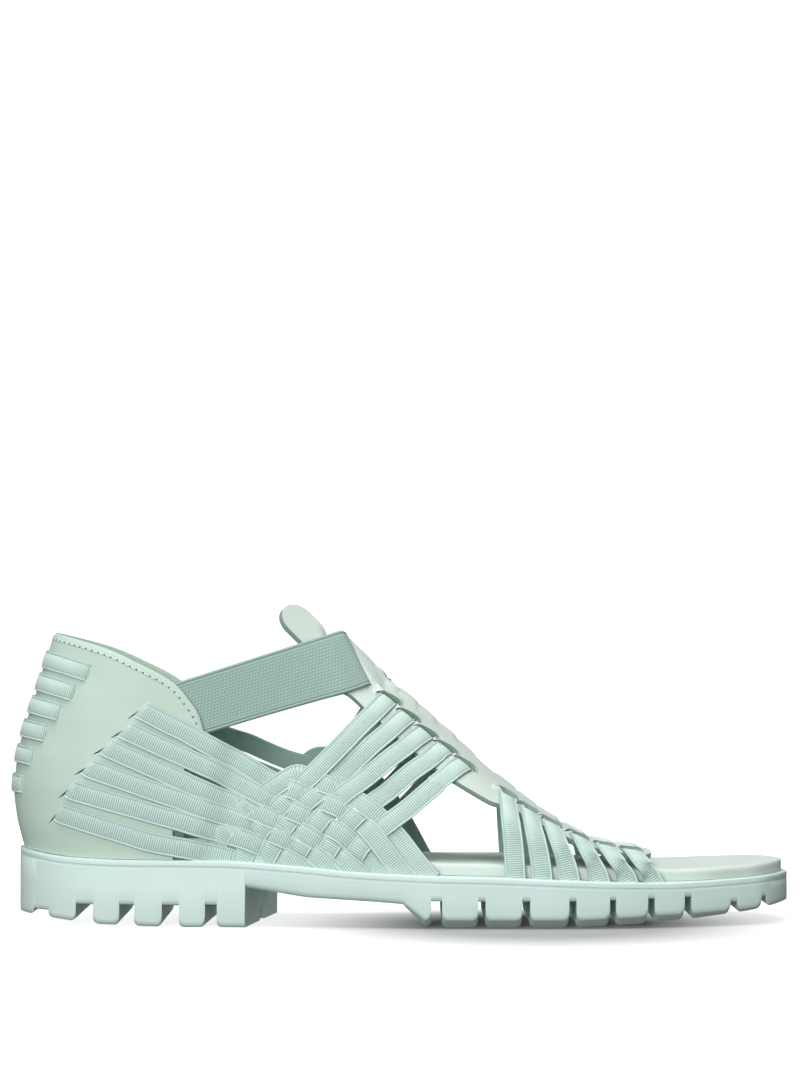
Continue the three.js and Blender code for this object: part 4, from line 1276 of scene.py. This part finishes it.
# Floor, light and camera
# A floor that curves up all round into its own backdrop and glows white without lighting the shoe;
# its glow falls away near the forefoot, which paints the contact shadow there. Soft light from
# the front, back and above, and a camera level with the shoe's outer side.
FLOOR_HALF = 3.4
FLOOR_FLAT = 2.0
FLOOR_CURVE = 0.6
FLOOR_CELLS = 180
FLOOR_CROWDING = 1.2
FLOOR = (0.4, 0.4, 0.4, 1)
# The floor's glow by distance from FLOOR_SHADOW_CENTRE: nearly none under the forefoot and just in front of
# it, a painted shadow, rising to a full white glow further out.
FLOOR_SHADOW_CENTRE = Vector((0.05, -0.03, 0))
FLOOR_GLOW_AND_SHADOW = {"reach": (0.04, 0.1, 0.25), "strength": (0, 0.75, 1)}
GLOW_AND_SHADOW = "floor_glow_and_shadow"
WHITE = (1, 1, 1, 1)
WORLD_STRENGTH = 0.2
LIGHT_AIM = Vector((0, 0, 0.04))
CAMERA_LENS = 113
CAMERA_PLACE = Vector((0.001, -1.2, 0.104))
CAMERA_AIM = Vector((0.001, 0, 0.1378))
glow_and_shadow_at = column(FLOOR_GLOW_AND_SHADOW, "reach", "strength")

floor_bmesh = bmesh.new()
bmesh.ops.create_grid(floor_bmesh, x_segments=FLOOR_CELLS, y_segments=FLOOR_CELLS, size=FLOOR_HALF)
glow_and_shadow_layer = floor_bmesh.verts.layers.float.new(GLOW_AND_SHADOW)
for vert in floor_bmesh.verts:
    vert.co.x *= (abs(vert.co.x) / FLOOR_HALF) ** FLOOR_CROWDING
    vert.co.y *= (abs(vert.co.y) / FLOOR_HALF) ** FLOOR_CROWDING
    reach = min(vert.co.length, FLOOR_HALF)
    vert.co.z = FLOOR_CURVE * max(reach - FLOOR_FLAT, 0) ** 2
    vert[glow_and_shadow_layer] = glow_and_shadow_at((vert.co - FLOOR_SHADOW_CENTRE).length)
floor_mesh = bpy.data.meshes.new("floor")
floor_bmesh.to_mesh(floor_mesh)
floor_bmesh.free()
for face in floor_mesh.polygons:
    face.use_smooth = True
pale_floor = Finish("pale_floor", roughness=0.7)
pale_floor.shader.inputs["Base Color"].default_value = FLOOR
pale_floor.shader.inputs["Emission Color"].default_value = WHITE
floor_glow_and_shadow_node = pale_floor.node("ShaderNodeAttribute", attribute_name=GLOW_AND_SHADOW)
pale_floor.link(floor_glow_and_shadow_node.outputs["Fac"], pale_floor.shader, "Emission Strength")
floor_mesh.materials.append(pale_floor.material)
floor = bpy.data.objects.new("floor", floor_mesh)
bpy.context.scene.collection.objects.link(floor)
floor.visible_diffuse = False
floor.visible_glossy = False

world = bpy.data.worlds.new("studio")
bpy.context.scene.world = world
world.use_nodes = True
world.node_tree.nodes["Background"].inputs["Color"].default_value = WHITE
world.node_tree.nodes["Background"].inputs["Strength"].default_value = WORLD_STRENGTH


def turned_to(aim, place):
    return (aim - place).to_track_quat("-Z", "Y").to_euler()


def area_light(name, place, size, power):
    data = bpy.data.lights.new(name, "AREA")
    data.size = size
    data.energy = power
    light = bpy.data.objects.new(name, data)
    light.location = place
    light.rotation_euler = turned_to(LIGHT_AIM, Vector(place))
    bpy.context.scene.collection.objects.link(light)
    return light


area_light("overhead", (-0.1, -0.1, 1.4), size=1.2, power=19)
area_light("front", (-0.4, -1.6, 0.42), size=0.8, power=20)
back_light = area_light("back", (0.5, 1.6, 0.3), size=0.6, power=12)
back_light.visible_glossy = False

camera_data = bpy.data.cameras.new("camera")
camera_data.lens = CAMERA_LENS
camera_data.sensor_width = 36
camera = bpy.data.objects.new("camera", camera_data)
camera.location = CAMERA_PLACE
camera.rotation_euler = turned_to(CAMERA_AIM, CAMERA_PLACE)
bpy.context.scene.collection.objects.link(camera)
bpy.context.scene.camera = camera
bpy.context.scene.view_settings.view_transform = "Standard"
